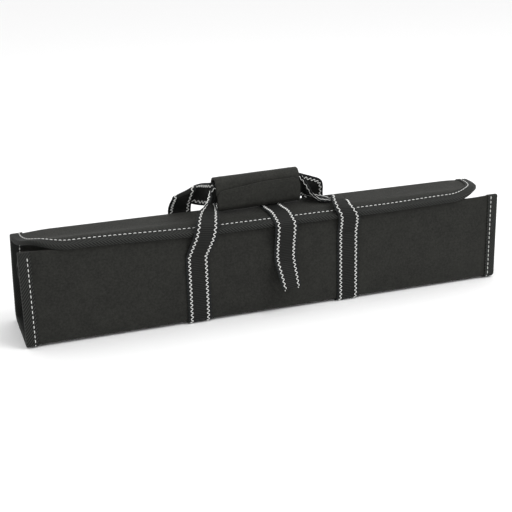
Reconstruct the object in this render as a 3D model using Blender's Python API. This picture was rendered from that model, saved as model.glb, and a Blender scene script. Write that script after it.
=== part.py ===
"""A chef knife roll, folded shut: one padded sheet bent into a long open-ended case, with a taped
edge, two webbing loops that meet in a wrapped grip, a closure strap and a thin inner leaf.

Metres, +Z up. X runs along the case, the front wall faces -Y, and the straps' undersides lie at Z = 0.
"""

import math
from collections import namedtuple

import bmesh
import bpy
from mathutils import Vector

# Case
LENGTH = 0.520
FRONT_HEIGHT = 0.0925
BOTTOM_DEPTH = 0.088
BACK_BELLY_DEPTH = 0.0755
BACK_BELLY_HEIGHT = 0.050
TOP_DEPTH = 0.0575
TOP_RISE = 0.010
PANEL = 0.003
RIGHT_END_DRAW = 0.008
FRONT_CORNER_RISE = 0.004
FRONT_CORNER_RUN = 0.022
FRONT_FOLD_RADIUS = 0.0055
BACK_FOLD_RADIUS = 0.008
BELLY_RADIUS = 0.070
TOP_FOLD_RADIUS = 0.008

# Flap
FLAP_OVERHANG = 0.004
FLAP_DIP = math.radians(22)
FLAP_DIP_RUN = 0.0165
FLAP_BEND_RADIUS = 0.036
FLAP_CORNER_RADIUS = 0.052

# Tape folded over the sheet's edge
TAPE = 0.0008
TAPE_WIDTH = 0.012

# Webbing
WEBBING = 0.0014
WEBBING_WIDTH = 0.025
LEFT_LEG_X = -0.085
RIGHT_LEG_X = 0.0805
LEFT_SEWN_HEIGHT = 0.070
RIGHT_SEWN_HEIGHT = 0.076
BACK_RIGHT_SEWN_HEIGHT = 0.055
BACK_RIGHT_LEAN = -0.0145
BACK_FREE_DROP = 0.0085

# Grip
GRIP_LENGTH = 0.094
GRIP_X = -0.007
GRIP_Y = 0.0385
GRIP_YAW = math.radians(4.5)
GRIP_DEPTH = 0.019
GRIP_HEIGHT = 0.036
GRIP_WALL = 0.0026
GRIP_LAP_HEIGHT = 0.0105
GRIP_LAP_RADIUS = 0.009
GRIP_ROUNDING = 0.0068
GRIP_INNER_ROUNDING = 0.0058
STRAP_SPACING = 0.0019

# Closure strap
CLOSURE_X = 0.0085
CLOSURE_HIDDEN_Y = 0.045

# Inner leaf
LEAF = 0.0012
LEAF_REACH = 0.0375
LEAF_TOP_DROP = 0.0010
LEAF_LOOP_HEIGHT = 0.0240
LEAF_HEM = 0.0030
LEAF_END_INSET = 0.0010

# Clearance between neighbouring pieces
GAP = 0.0003

# Steps on round stretches
ARC_STEP = math.radians(20)
ARC_LENGTH_STEP = 0.004
LEAST_ROW_STEP = 0.0004
CORNER_STEPS = 16
TAPE_STEPS = 4
GRIP_LAP_STEPS = 4
STRAP_STEP = 0.006
STRAP_TURN_STEP = math.radians(24)
WEBBING_ACROSS = 6
BISECTIONS = 40

# Where the webbing is drawn inside the grip, as shares of the grip's length from its middle
GRIP_SHARES = (-0.42, -0.20, 0.0, 0.20, 0.42)

# A rolled webbing is pressed flat to this share of a round roll
CURL_DEPTH = 0.6

TOP_HEIGHT = FRONT_HEIGHT + TOP_RISE
BACK_FREE_HEIGHT = TOP_HEIGHT - BACK_FREE_DROP
SHELL_Z = WEBBING + GAP
GRIP_WALL_CENTRE = GRIP_DEPTH / 2 - GRIP_WALL / 2
STRAP_OFFSET = (WEBBING + STRAP_SPACING) / 2

Corner = namedtuple("Corner", "y z radius")
Station = namedtuple("Station", "s y z ny nz")
Ruling = namedtuple("Ruling", "centre across width curl")
FreeRow = namedtuple("FreeRow", "across back up turn tilt width curl")
TailRow = namedtuple("TailRow", "across out up turn width")
LeafCorner = namedtuple("LeafCorner", "out down radius")

# Each row is one place on a free stretch of webbing, going up from its sewn leg to the grip.
# across: 0 at the leg, 1 at the grip's end. back: 0 at the wall's top edge, 1 at the grip's axis.
# up: 0 at the flap's top, 1 at the grip's axis. turn and tilt: where the webbing's width points.
# width: share of the webbing's width. curl: degrees by which the webbing is rolled lengthwise.
FRONT_LEFT_RUN = (
    FreeRow(0.12, -0.13, -1.05, 0, -6, 1.00, 0),
    FreeRow(0.24, -0.20, -0.52, 0, -7, 1.00, 0),
    FreeRow(0.33, -0.16, -0.02, 0, -7, 1.00, 25),
    FreeRow(0.42, 0.04, 0.27, 0, -8, 1.00, 70),
    FreeRow(0.53, 0.27, 0.45, 0, -10, 1.00, 130),
    FreeRow(0.64, 0.46, 0.58, 0, -16, 1.00, 200),
    FreeRow(0.75, 0.66, 0.68, 0, -32, 1.00, 240),
    FreeRow(0.82, 0.89, 0.77, 0, -64, 1.00, 190),
    FreeRow(0.93, 0.99, 0.88, 0, -80, 1.00, 60),
    FreeRow(1.08, 1.01, 0.97, 0, -88, 1.00, 15),
)
FRONT_RIGHT_RUN = (
    FreeRow(0.00, -0.10, -0.75, 0, 0, 1.00, 0),
    FreeRow(0.04, -0.17, -0.32, 0, -2, 0.98, 0),
    FreeRow(0.12, -0.10, 0.02, 0, -4, 0.94, 0),
    FreeRow(0.12, 0.10, 0.20, -12, -7, 0.90, 0),
    FreeRow(0.08, 0.27, 0.29, -38, -5, 0.92, 0),
    FreeRow(0.05, 0.42, 0.28, -60, -3, 0.96, 0),
    FreeRow(0.09, 0.53, 0.12, -70, -2, 1.00, 0),
    FreeRow(0.24, 0.80, 0.09, -84, -2, 1.02, 0),
    FreeRow(0.48, 0.95, 0.16, -92, -2, 1.00, 0),
    FreeRow(0.65, 0.98, 0.36, -98, 18, 0.96, 0),
    FreeRow(0.81, 0.97, 0.70, -98, 54, 0.96, 0),
    FreeRow(0.94, 0.99, 0.93, -94, 84, 1.00, 0),
)
BACK_LEFT_RUN = (
    FreeRow(0.00, -0.11, 0.06, 0, 0, 1.00, 0),
    FreeRow(0.01, 0.05, 0.40, 0, 4, 1.00, 0),
    FreeRow(0.04, 0.23, 0.70, -3, 12, 1.04, 0),
    FreeRow(0.08, 0.38, 0.97, -6, 18, 1.08, 0),
    FreeRow(0.12, 0.35, 1.10, -6, 20, 1.10, 0),
    FreeRow(0.16, 0.12, 1.05, -6, 24, 1.08, 0),
    FreeRow(0.27, -0.18, 0.92, -6, 32, 1.04, 0),
    FreeRow(0.53, -0.20, 0.83, -8, 52, 1.00, 0),
    FreeRow(0.77, 0.24, 0.85, -22, 76, 1.00, 0),
    FreeRow(0.95, 0.82, 0.97, -24, 88, 1.00, 0),
)
BACK_RIGHT_RUN = (
    FreeRow(0.37, -0.12, 0.10, 0, 4, 1.00, 0),
    FreeRow(0.39, 0.02, 0.34, -3, 14, 1.02, 0),
    FreeRow(0.43, 0.19, 0.52, -5, 26, 1.04, 0),
    FreeRow(0.52, 0.38, 0.62, -8, 38, 1.04, 0),
    FreeRow(0.65, 0.58, 0.70, -10, 52, 1.00, 0),
    FreeRow(0.81, 0.77, 0.80, -12, 70, 1.00, 0),
    FreeRow(0.96, 0.90, 0.93, -12, 84, 1.00, 0),
)

# The closure strap's tail, from the flap's edge down. across and out: shares of the webbing's
# width, to the right and away from the wall. up: share of the front wall's height.
CLOSURE_TAIL = (
    TailRow(0.01, 0.335, 1.020, 0, 1.00),
    TailRow(0.01, 0.325, 0.950, 0, 1.00),
    TailRow(0.01, 0.230, 0.840, 0, 1.00),
    TailRow(0.01, 0.145, 0.720, 0, 1.00),
    TailRow(0.01, 0.115, 0.630, 0, 1.00),
    TailRow(0.02, 0.210, 0.545, 3, 0.99),
    TailRow(0.06, 0.400, 0.420, 8, 0.96),
    TailRow(0.10, 0.560, 0.290, 14, 0.93),
)

# The loop of the inner leaf, from its upper edge down. out and radius: shares of the leaf's reach
# into the case. down: share of the loop's height below the leaf's top.
LEAF_LOOP = (
    LeafCorner(0.56, 0.46, 1.00),
    LeafCorner(1.08, 1.02, 0.11),
    LeafCorner(0.50, 1.20, 0.40),
)


def material(name, colour, roughness, metallic=0.0):
    found = bpy.data.materials.new(name)
    found.use_nodes = True
    shader = found.node_tree.nodes["Principled BSDF"]
    shader.inputs["Base Color"].default_value = (*colour, 1.0)
    shader.inputs["Roughness"].default_value = roughness
    shader.inputs["Metallic"].default_value = metallic
    return found


def finished(name, shape, look, parent):
    """The object of a bmesh, with its faces turned outwards and shaded smooth."""
    bmesh.ops.recalc_face_normals(shape, faces=shape.faces)
    mesh = bpy.data.meshes.new(name)
    shape.to_mesh(mesh)
    shape.free()
    mesh.materials.append(look)
    mesh.shade_smooth()
    made = bpy.data.objects.new(name, mesh)
    bpy.context.scene.collection.objects.link(made)
    made.parent = parent
    return made


def thickened(made, thickness):
    """Gives a surface its cloth thickness, half to each side."""
    wall = made.modifiers.new("wall", "SOLIDIFY")
    wall.thickness = thickness
    wall.offset = 0.0
    wall.use_even_offset = True
    wall.use_quality_normals = True
    return made


def rounded_path(corners):
    """Stations along a bent line whose corners are arcs. Its normal points to its right-hand side."""
    points = []
    for before, corner, after in zip(corners, corners[1:], corners[2:]):
        here = Vector((corner.y, corner.z))
        way_in = (here - Vector((before.y, before.z))).normalized()
        way_out = (Vector((after.y, after.z)) - here).normalized()
        turn = math.atan2(way_in.x * way_out.y - way_in.y * way_out.x, way_in.dot(way_out))
        tangent = corner.radius * math.tan(abs(turn) / 2)
        steps = max(2, math.ceil(abs(turn) / ARC_STEP))
        steps = max(steps, math.ceil(abs(turn) * corner.radius / ARC_LENGTH_STEP))
        side = math.copysign(1.0, turn)
        centre = here - way_in * tangent + Vector((-way_in.y, way_in.x)) * side * corner.radius
        start = math.atan2(-way_in.x * side, way_in.y * side)
        for step in range(steps + 1):
            angle = start + turn * step / steps
            outward = Vector((math.cos(angle), math.sin(angle)))
            points.append((centre + outward * corner.radius, outward * side))
    first, last = corners[0], corners[-1]
    points.insert(0, (Vector((first.y, first.z)), points[0][1]))
    points.append((Vector((last.y, last.z)), points[-1][1]))
    stations = []
    s = 0.0
    for index, (place, normal) in enumerate(points):
        if index:
            s += (place - points[index - 1][0]).length
        stations.append(Station(s, place.x, place.y, normal.x, normal.y))
    return stations


def station_at(stations, s):
    """The place on the path at arc length s, past its ends along its end stretches."""
    index = 1
    while index < len(stations) - 1 and stations[index].s < s:
        index += 1
    a, b = stations[index - 1], stations[index]
    share = (s - a.s) / (b.s - a.s)
    return Station(s, *(p + (q - p) * share for p, q in zip(a[1:], b[1:])))


def arc_length_where(stations, reached):
    """The first arc length at which the path meets a condition on (y, z)."""
    for a, b in zip(stations, stations[1:]):
        if reached(b.y, b.z):
            low, high = a.s, b.s
            for _ in range(BISECTIONS):
                middle = (low + high) / 2
                place = station_at(stations, middle)
                low, high = (low, middle) if reached(place.y, place.z) else (middle, high)
            return high
    return stations[-1].s


def case_section():
    """The sheet's outer face from the front wall's top edge, under the bottom and over to the flap."""
    wall_to_flap = (PANEL + TAPE + 2 * GAP) / math.cos(FLAP_DIP)
    flap_z = FRONT_HEIGHT + wall_to_flap
    flap_edge = Corner(-FLAP_OVERHANG, flap_z - FLAP_OVERHANG * math.tan(FLAP_DIP), 0.0)
    bend_y = FLAP_DIP_RUN * math.cos(FLAP_DIP) - FLAP_OVERHANG
    flap_bend = Corner(bend_y, flap_z + bend_y * math.tan(FLAP_DIP), FLAP_BEND_RADIUS)
    return rounded_path(
        (
            Corner(0.0, FRONT_HEIGHT, 0.0),
            Corner(0.0, 0.0, FRONT_FOLD_RADIUS),
            Corner(BOTTOM_DEPTH, 0.0, BACK_FOLD_RADIUS),
            Corner(BACK_BELLY_DEPTH, BACK_BELLY_HEIGHT, BELLY_RADIUS),
            Corner(TOP_DEPTH, TOP_HEIGHT, TOP_FOLD_RADIUS),
            flap_bend,
            flap_edge,
        )
    )


CASE = case_section()
SHEET_END = CASE[-1].s


def case_point(u, v, depth):
    """A point of the bent sheet: u along the case, v along the section, depth in from its outer face."""
    place = station_at(CASE, v)
    return Vector((u, place.y - place.ny * depth, SHELL_Z + place.z - place.nz * depth))


BACK_BOTTOM = arc_length_where(CASE, lambda y, z: y > BOTTOM_DEPTH / 2 and z > BACK_FOLD_RADIUS)
BACK_TOP = arc_length_where(CASE, lambda y, z: z > TOP_HEIGHT - TOP_FOLD_RADIUS)


def end_reach(v, side):
    """How far the sheet reaches in X at section length v; its right end is drawn in towards the top."""
    if side < 0:
        return LENGTH / 2
    share = min(1.0, max(0.0, (v - BACK_BOTTOM) / (BACK_TOP - BACK_BOTTOM)))
    return LENGTH / 2 - RIGHT_END_DRAW * share * share * (3 - 2 * share)


def half_width(v, side):
    """The sheet's half in X at section length v, on one side; the flap's corners are rounded."""
    reach = end_reach(v, side)
    into_corner = v - (SHEET_END - FLAP_CORNER_RADIUS)
    if into_corner <= 0:
        return reach
    chord = math.sqrt(max(0.0, FLAP_CORNER_RADIUS**2 - into_corner**2))
    return reach - FLAP_CORNER_RADIUS + chord


def corner_rows():
    """Section lengths at the steps of the flap's rounded corners."""
    start = SHEET_END - FLAP_CORNER_RADIUS
    angles = (math.pi / 2 * step / CORNER_STEPS for step in range(CORNER_STEPS + 1))
    return [start + FLAP_CORNER_RADIUS * math.sin(angle) for angle in angles]


def front_top(u):
    """How far the front wall's top edge stands above its middle height: only its corners do."""
    past = (abs(u) - (LENGTH / 2 - FRONT_CORNER_RUN)) / FRONT_CORNER_RUN
    share = min(1.0, max(0.0, past))
    return FRONT_CORNER_RISE * share * share * (3 - 2 * share)


def section_rows(extra=()):
    rows = sorted({round(station.s, 7) for station in CASE} | {round(v, 7) for v in extra})
    kept = [rows[0]]
    for row in rows[1:]:
        if row - kept[-1] > LEAST_ROW_STEP:
            kept.append(row)
    kept[-1] = SHEET_END
    return kept


def outer_panel(look, parent):
    run = FRONT_CORNER_RUN / (LENGTH / 2)
    right = [0.0, 1 - run, 1 - run * 2 / 3, 1 - run / 3, 1.0]
    columns = [-share for share in reversed(right[1:])] + right
    rows = section_rows(corner_rows())
    shape = bmesh.new()
    faces = []
    for depth in (0.0, PANEL):
        grid = []
        for index, v in enumerate(rows):
            line = []
            for share in columns:
                u = share * half_width(v, share)
                lift = front_top(u) if index == 0 else 0.0
                line.append(shape.verts.new(case_point(u, v - lift, depth)))
            grid.append(line)
        faces.append(grid)
    for grid in faces:
        skin(shape, grid)
    outer, inner = faces
    rim = [outer[0], [row[-1] for row in outer], outer[-1], [row[0] for row in outer]]
    inner_rim = [inner[0], [row[-1] for row in inner], inner[-1], [row[0] for row in inner]]
    for edge, inner_edge in zip(rim, inner_rim):
        skin(shape, [edge, inner_edge])
    return finished("outer_panel", shape, look, parent)


def skin(shape, grid):
    """Quads between the rows of a grid of vertices."""
    for row, following in zip(grid, grid[1:]):
        for a, b, c, d in zip(row, row[1:], following[1:], following):
            shape.faces.new((a, b, c, d))


def sheet_outline():
    """(u, v, outward u, outward v) round the taped edge: left end, flap corner, flap edge and back."""
    side_rows = [v for v in section_rows() if v < SHEET_END - FLAP_CORNER_RADIUS - ARC_LENGTH_STEP / 4]
    side_rows[0] = -FRONT_CORNER_RISE
    halves = []
    for side in (-1, 1):
        half = [(side * end_reach(v, side), v, side, 0.0) for v in side_rows]
        centre_u = side * (end_reach(SHEET_END, side) - FLAP_CORNER_RADIUS)
        centre_v = SHEET_END - FLAP_CORNER_RADIUS
        for step in range(CORNER_STEPS + 1):
            angle = math.pi / 2 * step / CORNER_STEPS
            out_u, out_v = side * math.cos(angle), math.sin(angle)
            u = centre_u + FLAP_CORNER_RADIUS * out_u
            half.append((u, centre_v + FLAP_CORNER_RADIUS * out_v, out_u, out_v))
        halves.append(half)
    return halves[0] + halves[1][::-1]


def edge_binding(look, parent):
    """The tape's U section, carried round the sheet's outline."""
    nose = GAP + TAPE
    inset = nose - TAPE_WIDTH
    legs = [inset * (1 - step / TAPE_STEPS) for step in range(TAPE_STEPS)]
    top, bottom = -GAP, PANEL + GAP
    section = [(out, top) for out in legs + [GAP]]
    section += [(out, bottom) for out in [GAP] + legs[::-1]]
    section += [(out, bottom + TAPE) for out in legs + [nose]]
    section += [(out, top - TAPE) for out in [nose] + legs[::-1]]
    shape = bmesh.new()
    rings = []
    for u, v, out_u, out_v in sheet_outline():
        ring = [case_point(u + out * out_u, v + out * out_v, depth) for out, depth in section]
        rings.append([shape.verts.new(place) for place in ring])
    skin(shape, [ring + ring[:1] for ring in rings])
    across = len(legs) + 1
    for ring in (rings[0], rings[-1]):
        shape.faces.new(ring[:across] + ring[-across:])
        shape.faces.new(ring[across : 3 * across])
        shape.faces.new((ring[across - 1], ring[across], ring[3 * across - 1], ring[3 * across]))
    return finished("edge_binding", shape, look, parent)


def inner_flap(look, parent):
    """The thin leaf that leaves the front wall's top, loops back into the case and returns to it."""
    seat = PANEL + GAP + TAPE + GAP + LEAF / 2
    top = FRONT_HEIGHT - LEAF_TOP_DROP
    low = top - LEAF_LOOP_HEIGHT
    corners = [Corner(seat, top, 0.0), Corner(seat, top - LEAF_HEM, LEAF_HEM / 2)]
    for bend in LEAF_LOOP:
        y = seat + LEAF_REACH * bend.out
        corners.append(Corner(y, top - LEAF_LOOP_HEIGHT * bend.down, LEAF_REACH * bend.radius))
    corners += [Corner(seat, low, LEAF_HEM / 2), Corner(seat, low - 2 * LEAF_HEM, 0.0)]
    path = rounded_path(corners)
    half = LENGTH / 2 - LEAF_END_INSET
    shape = bmesh.new()
    grid = []
    for station in path:
        row = [Vector((u, station.y, SHELL_Z + station.z)) for u in (-half, 0.0, half)]
        grid.append([shape.verts.new(place) for place in row])
    skin(shape, grid)
    return thickened(finished("inner_flap", shape, look, parent), LEAF)


def flap_top_at(y):
    """Height of the flap's upper face above the case's bottom, at a distance back from the front wall."""
    highest = arc_length_where(CASE, lambda _, z: z >= TOP_HEIGHT - TOP_FOLD_RADIUS / 2)
    found = arc_length_where(CASE, lambda py, pz: pz > FRONT_HEIGHT and py <= y)
    return station_at(CASE, max(found, highest)).z


def grip_axis_height():
    """The grip lies on the closure strap, which lies on the flap."""
    carried = flap_top_at(GRIP_Y) + SHELL_Z + GAP + WEBBING + GAP
    return carried + GRIP_HEIGHT / 2


GRIP_Z = grip_axis_height()
FLAP_Z = flap_top_at(GRIP_Y) + SHELL_Z


def grip_place(x, y, z):
    """World place of a point given along the grip's own axes."""
    turned = Vector((math.cos(GRIP_YAW), math.sin(GRIP_YAW), 0.0)) * x
    turned += Vector((-math.sin(GRIP_YAW), math.cos(GRIP_YAW), 0.0)) * y
    return Vector((GRIP_X, GRIP_Y, GRIP_Z + z)) + turned


def handle_wrap(look, parent):
    """The padded sheet wound once round the webbings, its outer lap ending high on the front."""
    outer_y = GRIP_WALL_CENTRE
    inner_y = GRIP_WALL_CENTRE - GRIP_WALL - GAP
    crown = GRIP_HEIGHT / 2 - GRIP_WALL / 2
    path = rounded_path(
        (
            Corner(-inner_y, 0.0, 0.0),
            Corner(-inner_y, crown, GRIP_INNER_ROUNDING),
            Corner(outer_y, crown, GRIP_ROUNDING),
            Corner(outer_y, -crown, GRIP_ROUNDING),
            Corner(-outer_y, -crown, GRIP_ROUNDING),
            Corner(-outer_y, GRIP_LAP_HEIGHT, 0.0),
        )
    )
    end = path[-1].s
    rows = [station.s for station in path[:-1]]
    for step in range(GRIP_LAP_STEPS + 1):
        angle = math.pi / 2 * step / GRIP_LAP_STEPS
        rows.append(end - GRIP_LAP_RADIUS * (1 - math.sin(angle)))
    shape = bmesh.new()
    grid = []
    for s in sorted(rows):
        into_corner = max(0.0, s - (end - GRIP_LAP_RADIUS))
        chord = math.sqrt(max(0.0, GRIP_LAP_RADIUS**2 - into_corner**2))
        half = GRIP_LENGTH / 2 - GRIP_LAP_RADIUS + chord
        place = station_at(path, s)
        row = [grip_place(x, place.y, place.z) for x in (-half, -half / 3, half / 3, half)]
        grid.append([shape.verts.new(point) for point in row])
    skin(shape, grid)
    return thickened(finished("handle_wrap", shape, look, parent), GRIP_WALL)


def wall_run(x, start, end, lean=0.0):
    """Rulings of webbing laid on the case's outer face between two section lengths."""
    inside = [station.s for station in CASE if min(start, end) < station.s < max(start, end)]
    lengths = [start] + sorted(inside, reverse=start > end) + [end]
    run = []
    for s in lengths:
        leaned = lean * (s - start) / (end - start)
        centre = case_point(x + leaned, s, -(GAP + WEBBING / 2))
        run.append(Ruling(centre, Vector((1.0, 0.0, 0.0)), WEBBING_WIDTH, 0.0))
    return run


def free_run(rows, leg_x, grip_x, edge_y, side):
    """Rulings of a free stretch, from its table and the places where it starts and ends."""
    grip_end = grip_place(grip_x, side * STRAP_OFFSET, 0.0)
    run = []
    for row in rows:
        centre = Vector(
            (
                leg_x + (grip_end.x - leg_x) * row.across,
                edge_y + (grip_end.y - edge_y) * row.back,
                FLAP_Z + (grip_end.z - FLAP_Z) * row.up,
            )
        )
        turn, tilt = math.radians(row.turn), math.radians(row.tilt)
        across = Vector(
            (
                math.cos(tilt) * math.cos(turn),
                math.cos(tilt) * math.sin(turn),
                math.sin(tilt),
            )
        )
        run.append(Ruling(centre, across, WEBBING_WIDTH * row.width, math.radians(row.curl)))
    return run


def grip_run(side, up):
    """Rulings of webbing standing on edge inside the grip; up says which of its edges is on top."""
    run = []
    for share in GRIP_SHARES:
        centre = grip_place(GRIP_LENGTH * share, side * STRAP_OFFSET, 0.0)
        run.append(Ruling(centre, Vector((0.0, 0.0, up)), WEBBING_WIDTH, 0.0))
    return run


def negated(run):
    return [ruling._replace(across=-ruling.across, curl=-ruling.curl) for ruling in run]


def smooth_run(run):
    """Rulings at even steps along a smooth curve through the given ones."""
    dense = []
    last = len(run) - 1
    for index in range(last):
        before, a = run[max(index - 1, 0)], run[index]
        b, after = run[index + 1], run[min(index + 2, last)]
        steps = max(1, round((b.centre - a.centre).length / STRAP_STEP))
        turned = a.across.angle(b.across)
        steps = max(steps, math.ceil(turned / STRAP_TURN_STEP))
        for step in range(steps):
            t = step / steps
            spread = max((b.centre - a.centre).length, 1e-6)
            lead_in = max((a.centre - before.centre).length, 1e-6)
            lead_out = max((after.centre - b.centre).length, 1e-6)
            slope_a = (a.centre - before.centre) / lead_in + (b.centre - a.centre) / spread
            slope_b = (b.centre - a.centre) / spread + (after.centre - b.centre) / lead_out
            if index == 0:
                slope_a = (b.centre - a.centre) / spread * 2
            if index == last - 1:
                slope_b = (b.centre - a.centre) / spread * 2
            centre = hermite(a.centre, b.centre, slope_a * spread / 2, slope_b * spread / 2, t)
            across = a.across.slerp(b.across, t) if turned > 1e-4 else a.across.copy()
            width = a.width + (b.width - a.width) * t
            curl = a.curl + (b.curl - a.curl) * t * t * (3 - 2 * t)
            dense.append(Ruling(centre, across.normalized(), width, curl))
    dense.append(run[-1])
    return dense


def hermite(a, b, slope_a, slope_b, t):
    t2, t3 = t * t, t * t * t
    return (
        a * (2 * t3 - 3 * t2 + 1)
        + slope_a * (t3 - 2 * t2 + t)
        + b * (3 * t2 - 2 * t3)
        + slope_b * (t3 - t2)
    )


def ruling_points(ruling, forward):
    """Points across the webbing: a straight line, or an arc of the same length where it is curled."""
    bow = ruling.across.cross(forward).normalized()
    points = []
    for index in range(WEBBING_ACROSS + 1):
        share = index / WEBBING_ACROSS - 0.5
        if abs(ruling.curl) < 1e-3:
            points.append(ruling.centre + ruling.across * ruling.width * share)
            continue
        radius = ruling.width / ruling.curl
        angle = ruling.curl * share
        rise = radius * (math.cos(angle) - (1 + math.cos(ruling.curl / 2)) / 2) * CURL_DEPTH
        points.append(ruling.centre + ruling.across * radius * math.sin(angle) - bow * rise)
    return points


def webbing_strap(name, run, look, parent):
    shape = bmesh.new()
    grid = []
    for index, ruling in enumerate(run):
        ahead = run[min(index + 1, len(run) - 1)].centre
        behind = run[max(index - 1, 0)].centre
        points = ruling_points(ruling, (ahead - behind).normalized())
        grid.append([shape.verts.new(place) for place in points])
    skin(shape, grid)
    return thickened(finished(name, shape, look, parent), WEBBING)


def front_strap(look, parent):
    middle = arc_length_where(CASE, lambda y, z: y >= BOTTOM_DEPTH / 2 - GAP / 2)
    left_top = arc_length_where(CASE, lambda y, z: z <= LEFT_SEWN_HEIGHT)
    right_top = arc_length_where(CASE, lambda y, z: z <= RIGHT_SEWN_HEIGHT)
    end = GRIP_LENGTH / 2
    left = free_run(FRONT_LEFT_RUN, LEFT_LEG_X, -end, 0.0, -1)
    right = free_run(FRONT_RIGHT_RUN, RIGHT_LEG_X, end, 0.0, -1)
    run = wall_run(LEFT_LEG_X, middle, left_top) + smooth_run(
        wall_run(LEFT_LEG_X, left_top + STRAP_STEP, left_top)[-1:]
        + left
        + grip_run(-1, -1.0)
        + negated(right[::-1])
        + negated(wall_run(RIGHT_LEG_X, right_top, right_top + STRAP_STEP)[:1])
    )[1:]
    run += negated(wall_run(RIGHT_LEG_X, right_top, middle)[1:])
    return webbing_strap("front_strap", run, look, parent)


def back_strap(look, parent):
    middle = arc_length_where(CASE, lambda y, z: y >= BOTTOM_DEPTH / 2 + GAP / 2)
    behind = BOTTOM_DEPTH / 2

    def wall_top(height):
        return arc_length_where(CASE, lambda y, z: y > behind and z >= height)

    left_top, right_top = wall_top(BACK_FREE_HEIGHT), wall_top(BACK_RIGHT_SEWN_HEIGHT)
    end = GRIP_LENGTH / 2
    edge_y = TOP_DEPTH + GAP + WEBBING / 2
    left = free_run(BACK_LEFT_RUN, LEFT_LEG_X, -end, edge_y, 1)
    right = free_run(BACK_RIGHT_RUN, RIGHT_LEG_X, end, edge_y, 1)
    run = wall_run(LEFT_LEG_X, middle, left_top)
    leaning = wall_run(RIGHT_LEG_X, right_top, left_top, BACK_RIGHT_LEAN)[::-1]
    run += smooth_run(run[-1:] + left + grip_run(1, 1.0) + right[::-1] + leaning[:1])[1:]
    run += leaning[1:]
    run += wall_run(RIGHT_LEG_X, right_top, middle)[1:]
    return webbing_strap("back_strap", run, look, parent)


def closure_strap(look, parent):
    """From under the grip, over the taped edge of the flap, and down to the tail's end."""
    hidden = arc_length_where(CASE, lambda y, z: z > FRONT_HEIGHT and y <= CLOSURE_HIDDEN_Y)
    on_tape = GAP + TAPE + GAP + WEBBING / 2
    on_flap = GAP + WEBBING / 2
    along = Vector((1.0, 0.0, 0.0))
    run = []
    edges = (
        (hidden, on_flap),
        ((hidden + SHEET_END - TAPE_WIDTH) / 2, on_flap),
        (SHEET_END - TAPE_WIDTH - WEBBING_WIDTH / 4, on_flap + TAPE / 2),
        (SHEET_END - TAPE_WIDTH, on_tape),
        (SHEET_END - TAPE_WIDTH / 2, on_tape),
        (SHEET_END - GAP, on_tape),
        (SHEET_END + TAPE, on_tape + GAP),
    )
    for s, lift in edges:
        run.append(Ruling(case_point(CLOSURE_X, s, -lift), along, WEBBING_WIDTH, 0.0))
    for row in CLOSURE_TAIL:
        turn = math.radians(row.turn)
        centre = Vector(
            (
                CLOSURE_X + WEBBING_WIDTH * row.across,
                -WEBBING_WIDTH * row.out,
                SHELL_Z + FRONT_HEIGHT * row.up,
            )
        )
        across = Vector((math.cos(turn), math.sin(turn), 0.0))
        run.append(Ruling(centre, across, WEBBING_WIDTH * row.width, 0.0))
    return webbing_strap("closure_strap", smooth_run(run), look, parent)


def centre_on_origin(root, pieces):
    """Moves the parent empty so that the bottom centre of everything lies at the world origin."""
    bpy.context.view_layer.update()
    graph = bpy.context.evaluated_depsgraph_get()
    places = [
        piece.matrix_world @ vertex.co
        for piece in (each.evaluated_get(graph) for each in pieces)
        for vertex in piece.data.vertices
    ]
    low = Vector(min(place[axis] for place in places) for axis in range(3))
    high = Vector(max(place[axis] for place in places) for axis in range(3))
    root.location = Vector((-(low.x + high.x) / 2, -(low.y + high.y) / 2, -low.z))


def build():
    for old in list(bpy.data.objects):
        bpy.data.objects.remove(old, do_unlink=True)
    root = bpy.data.objects.new("roll_origin", None)
    bpy.context.scene.collection.objects.link(root)
    nylon = material("black_padded_nylon", (0.032, 0.032, 0.029), 0.78)
    tape = material("black_twill_tape", (0.022, 0.023, 0.022), 0.70)
    webbing = material("black_webbing", (0.024, 0.025, 0.023), 0.66)
    lining = material("thin_black_nylon", (0.026, 0.027, 0.025), 0.60)
    pieces = [
        outer_panel(nylon, root),
        edge_binding(tape, root),
        inner_flap(lining, root),
        handle_wrap(nylon, root),
        front_strap(webbing, root),
        back_strap(webbing, root),
        closure_strap(webbing, root),
    ]
    centre_on_origin(root, pieces)


build()
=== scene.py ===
"""A folded chef knife roll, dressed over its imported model.

One padded sheet is folded into a long case with open ends. Twill tape binds its edges, two webbing
loops meet in a wrapped grip, a third strap closes the flap, and a thin leaf lies inside the top.
All lengths are in metres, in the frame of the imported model.
"""

from __future__ import annotations

import logging
import math
from bisect import bisect_left
from dataclasses import dataclass, field
from enum import Enum
from typing import Callable, NamedTuple, Sequence

import bmesh
import bpy
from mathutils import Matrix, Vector


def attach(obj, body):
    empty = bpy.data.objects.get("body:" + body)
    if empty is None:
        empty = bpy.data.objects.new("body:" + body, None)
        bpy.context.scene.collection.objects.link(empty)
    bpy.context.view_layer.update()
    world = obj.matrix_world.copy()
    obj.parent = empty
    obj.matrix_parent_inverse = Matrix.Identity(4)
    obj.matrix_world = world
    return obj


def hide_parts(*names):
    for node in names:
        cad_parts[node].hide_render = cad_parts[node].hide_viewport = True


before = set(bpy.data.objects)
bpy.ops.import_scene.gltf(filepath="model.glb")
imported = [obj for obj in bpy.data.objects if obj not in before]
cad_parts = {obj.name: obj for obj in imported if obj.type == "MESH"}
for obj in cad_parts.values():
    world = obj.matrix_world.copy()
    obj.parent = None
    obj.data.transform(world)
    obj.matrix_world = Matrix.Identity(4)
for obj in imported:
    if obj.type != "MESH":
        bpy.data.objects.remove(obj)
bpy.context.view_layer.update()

logging.basicConfig(level=logging.INFO, format="%(message)s")
LOG = logging.getLogger("knife_roll")

CLOTH_MAP = "cloth"
TINY = 1e-6

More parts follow.
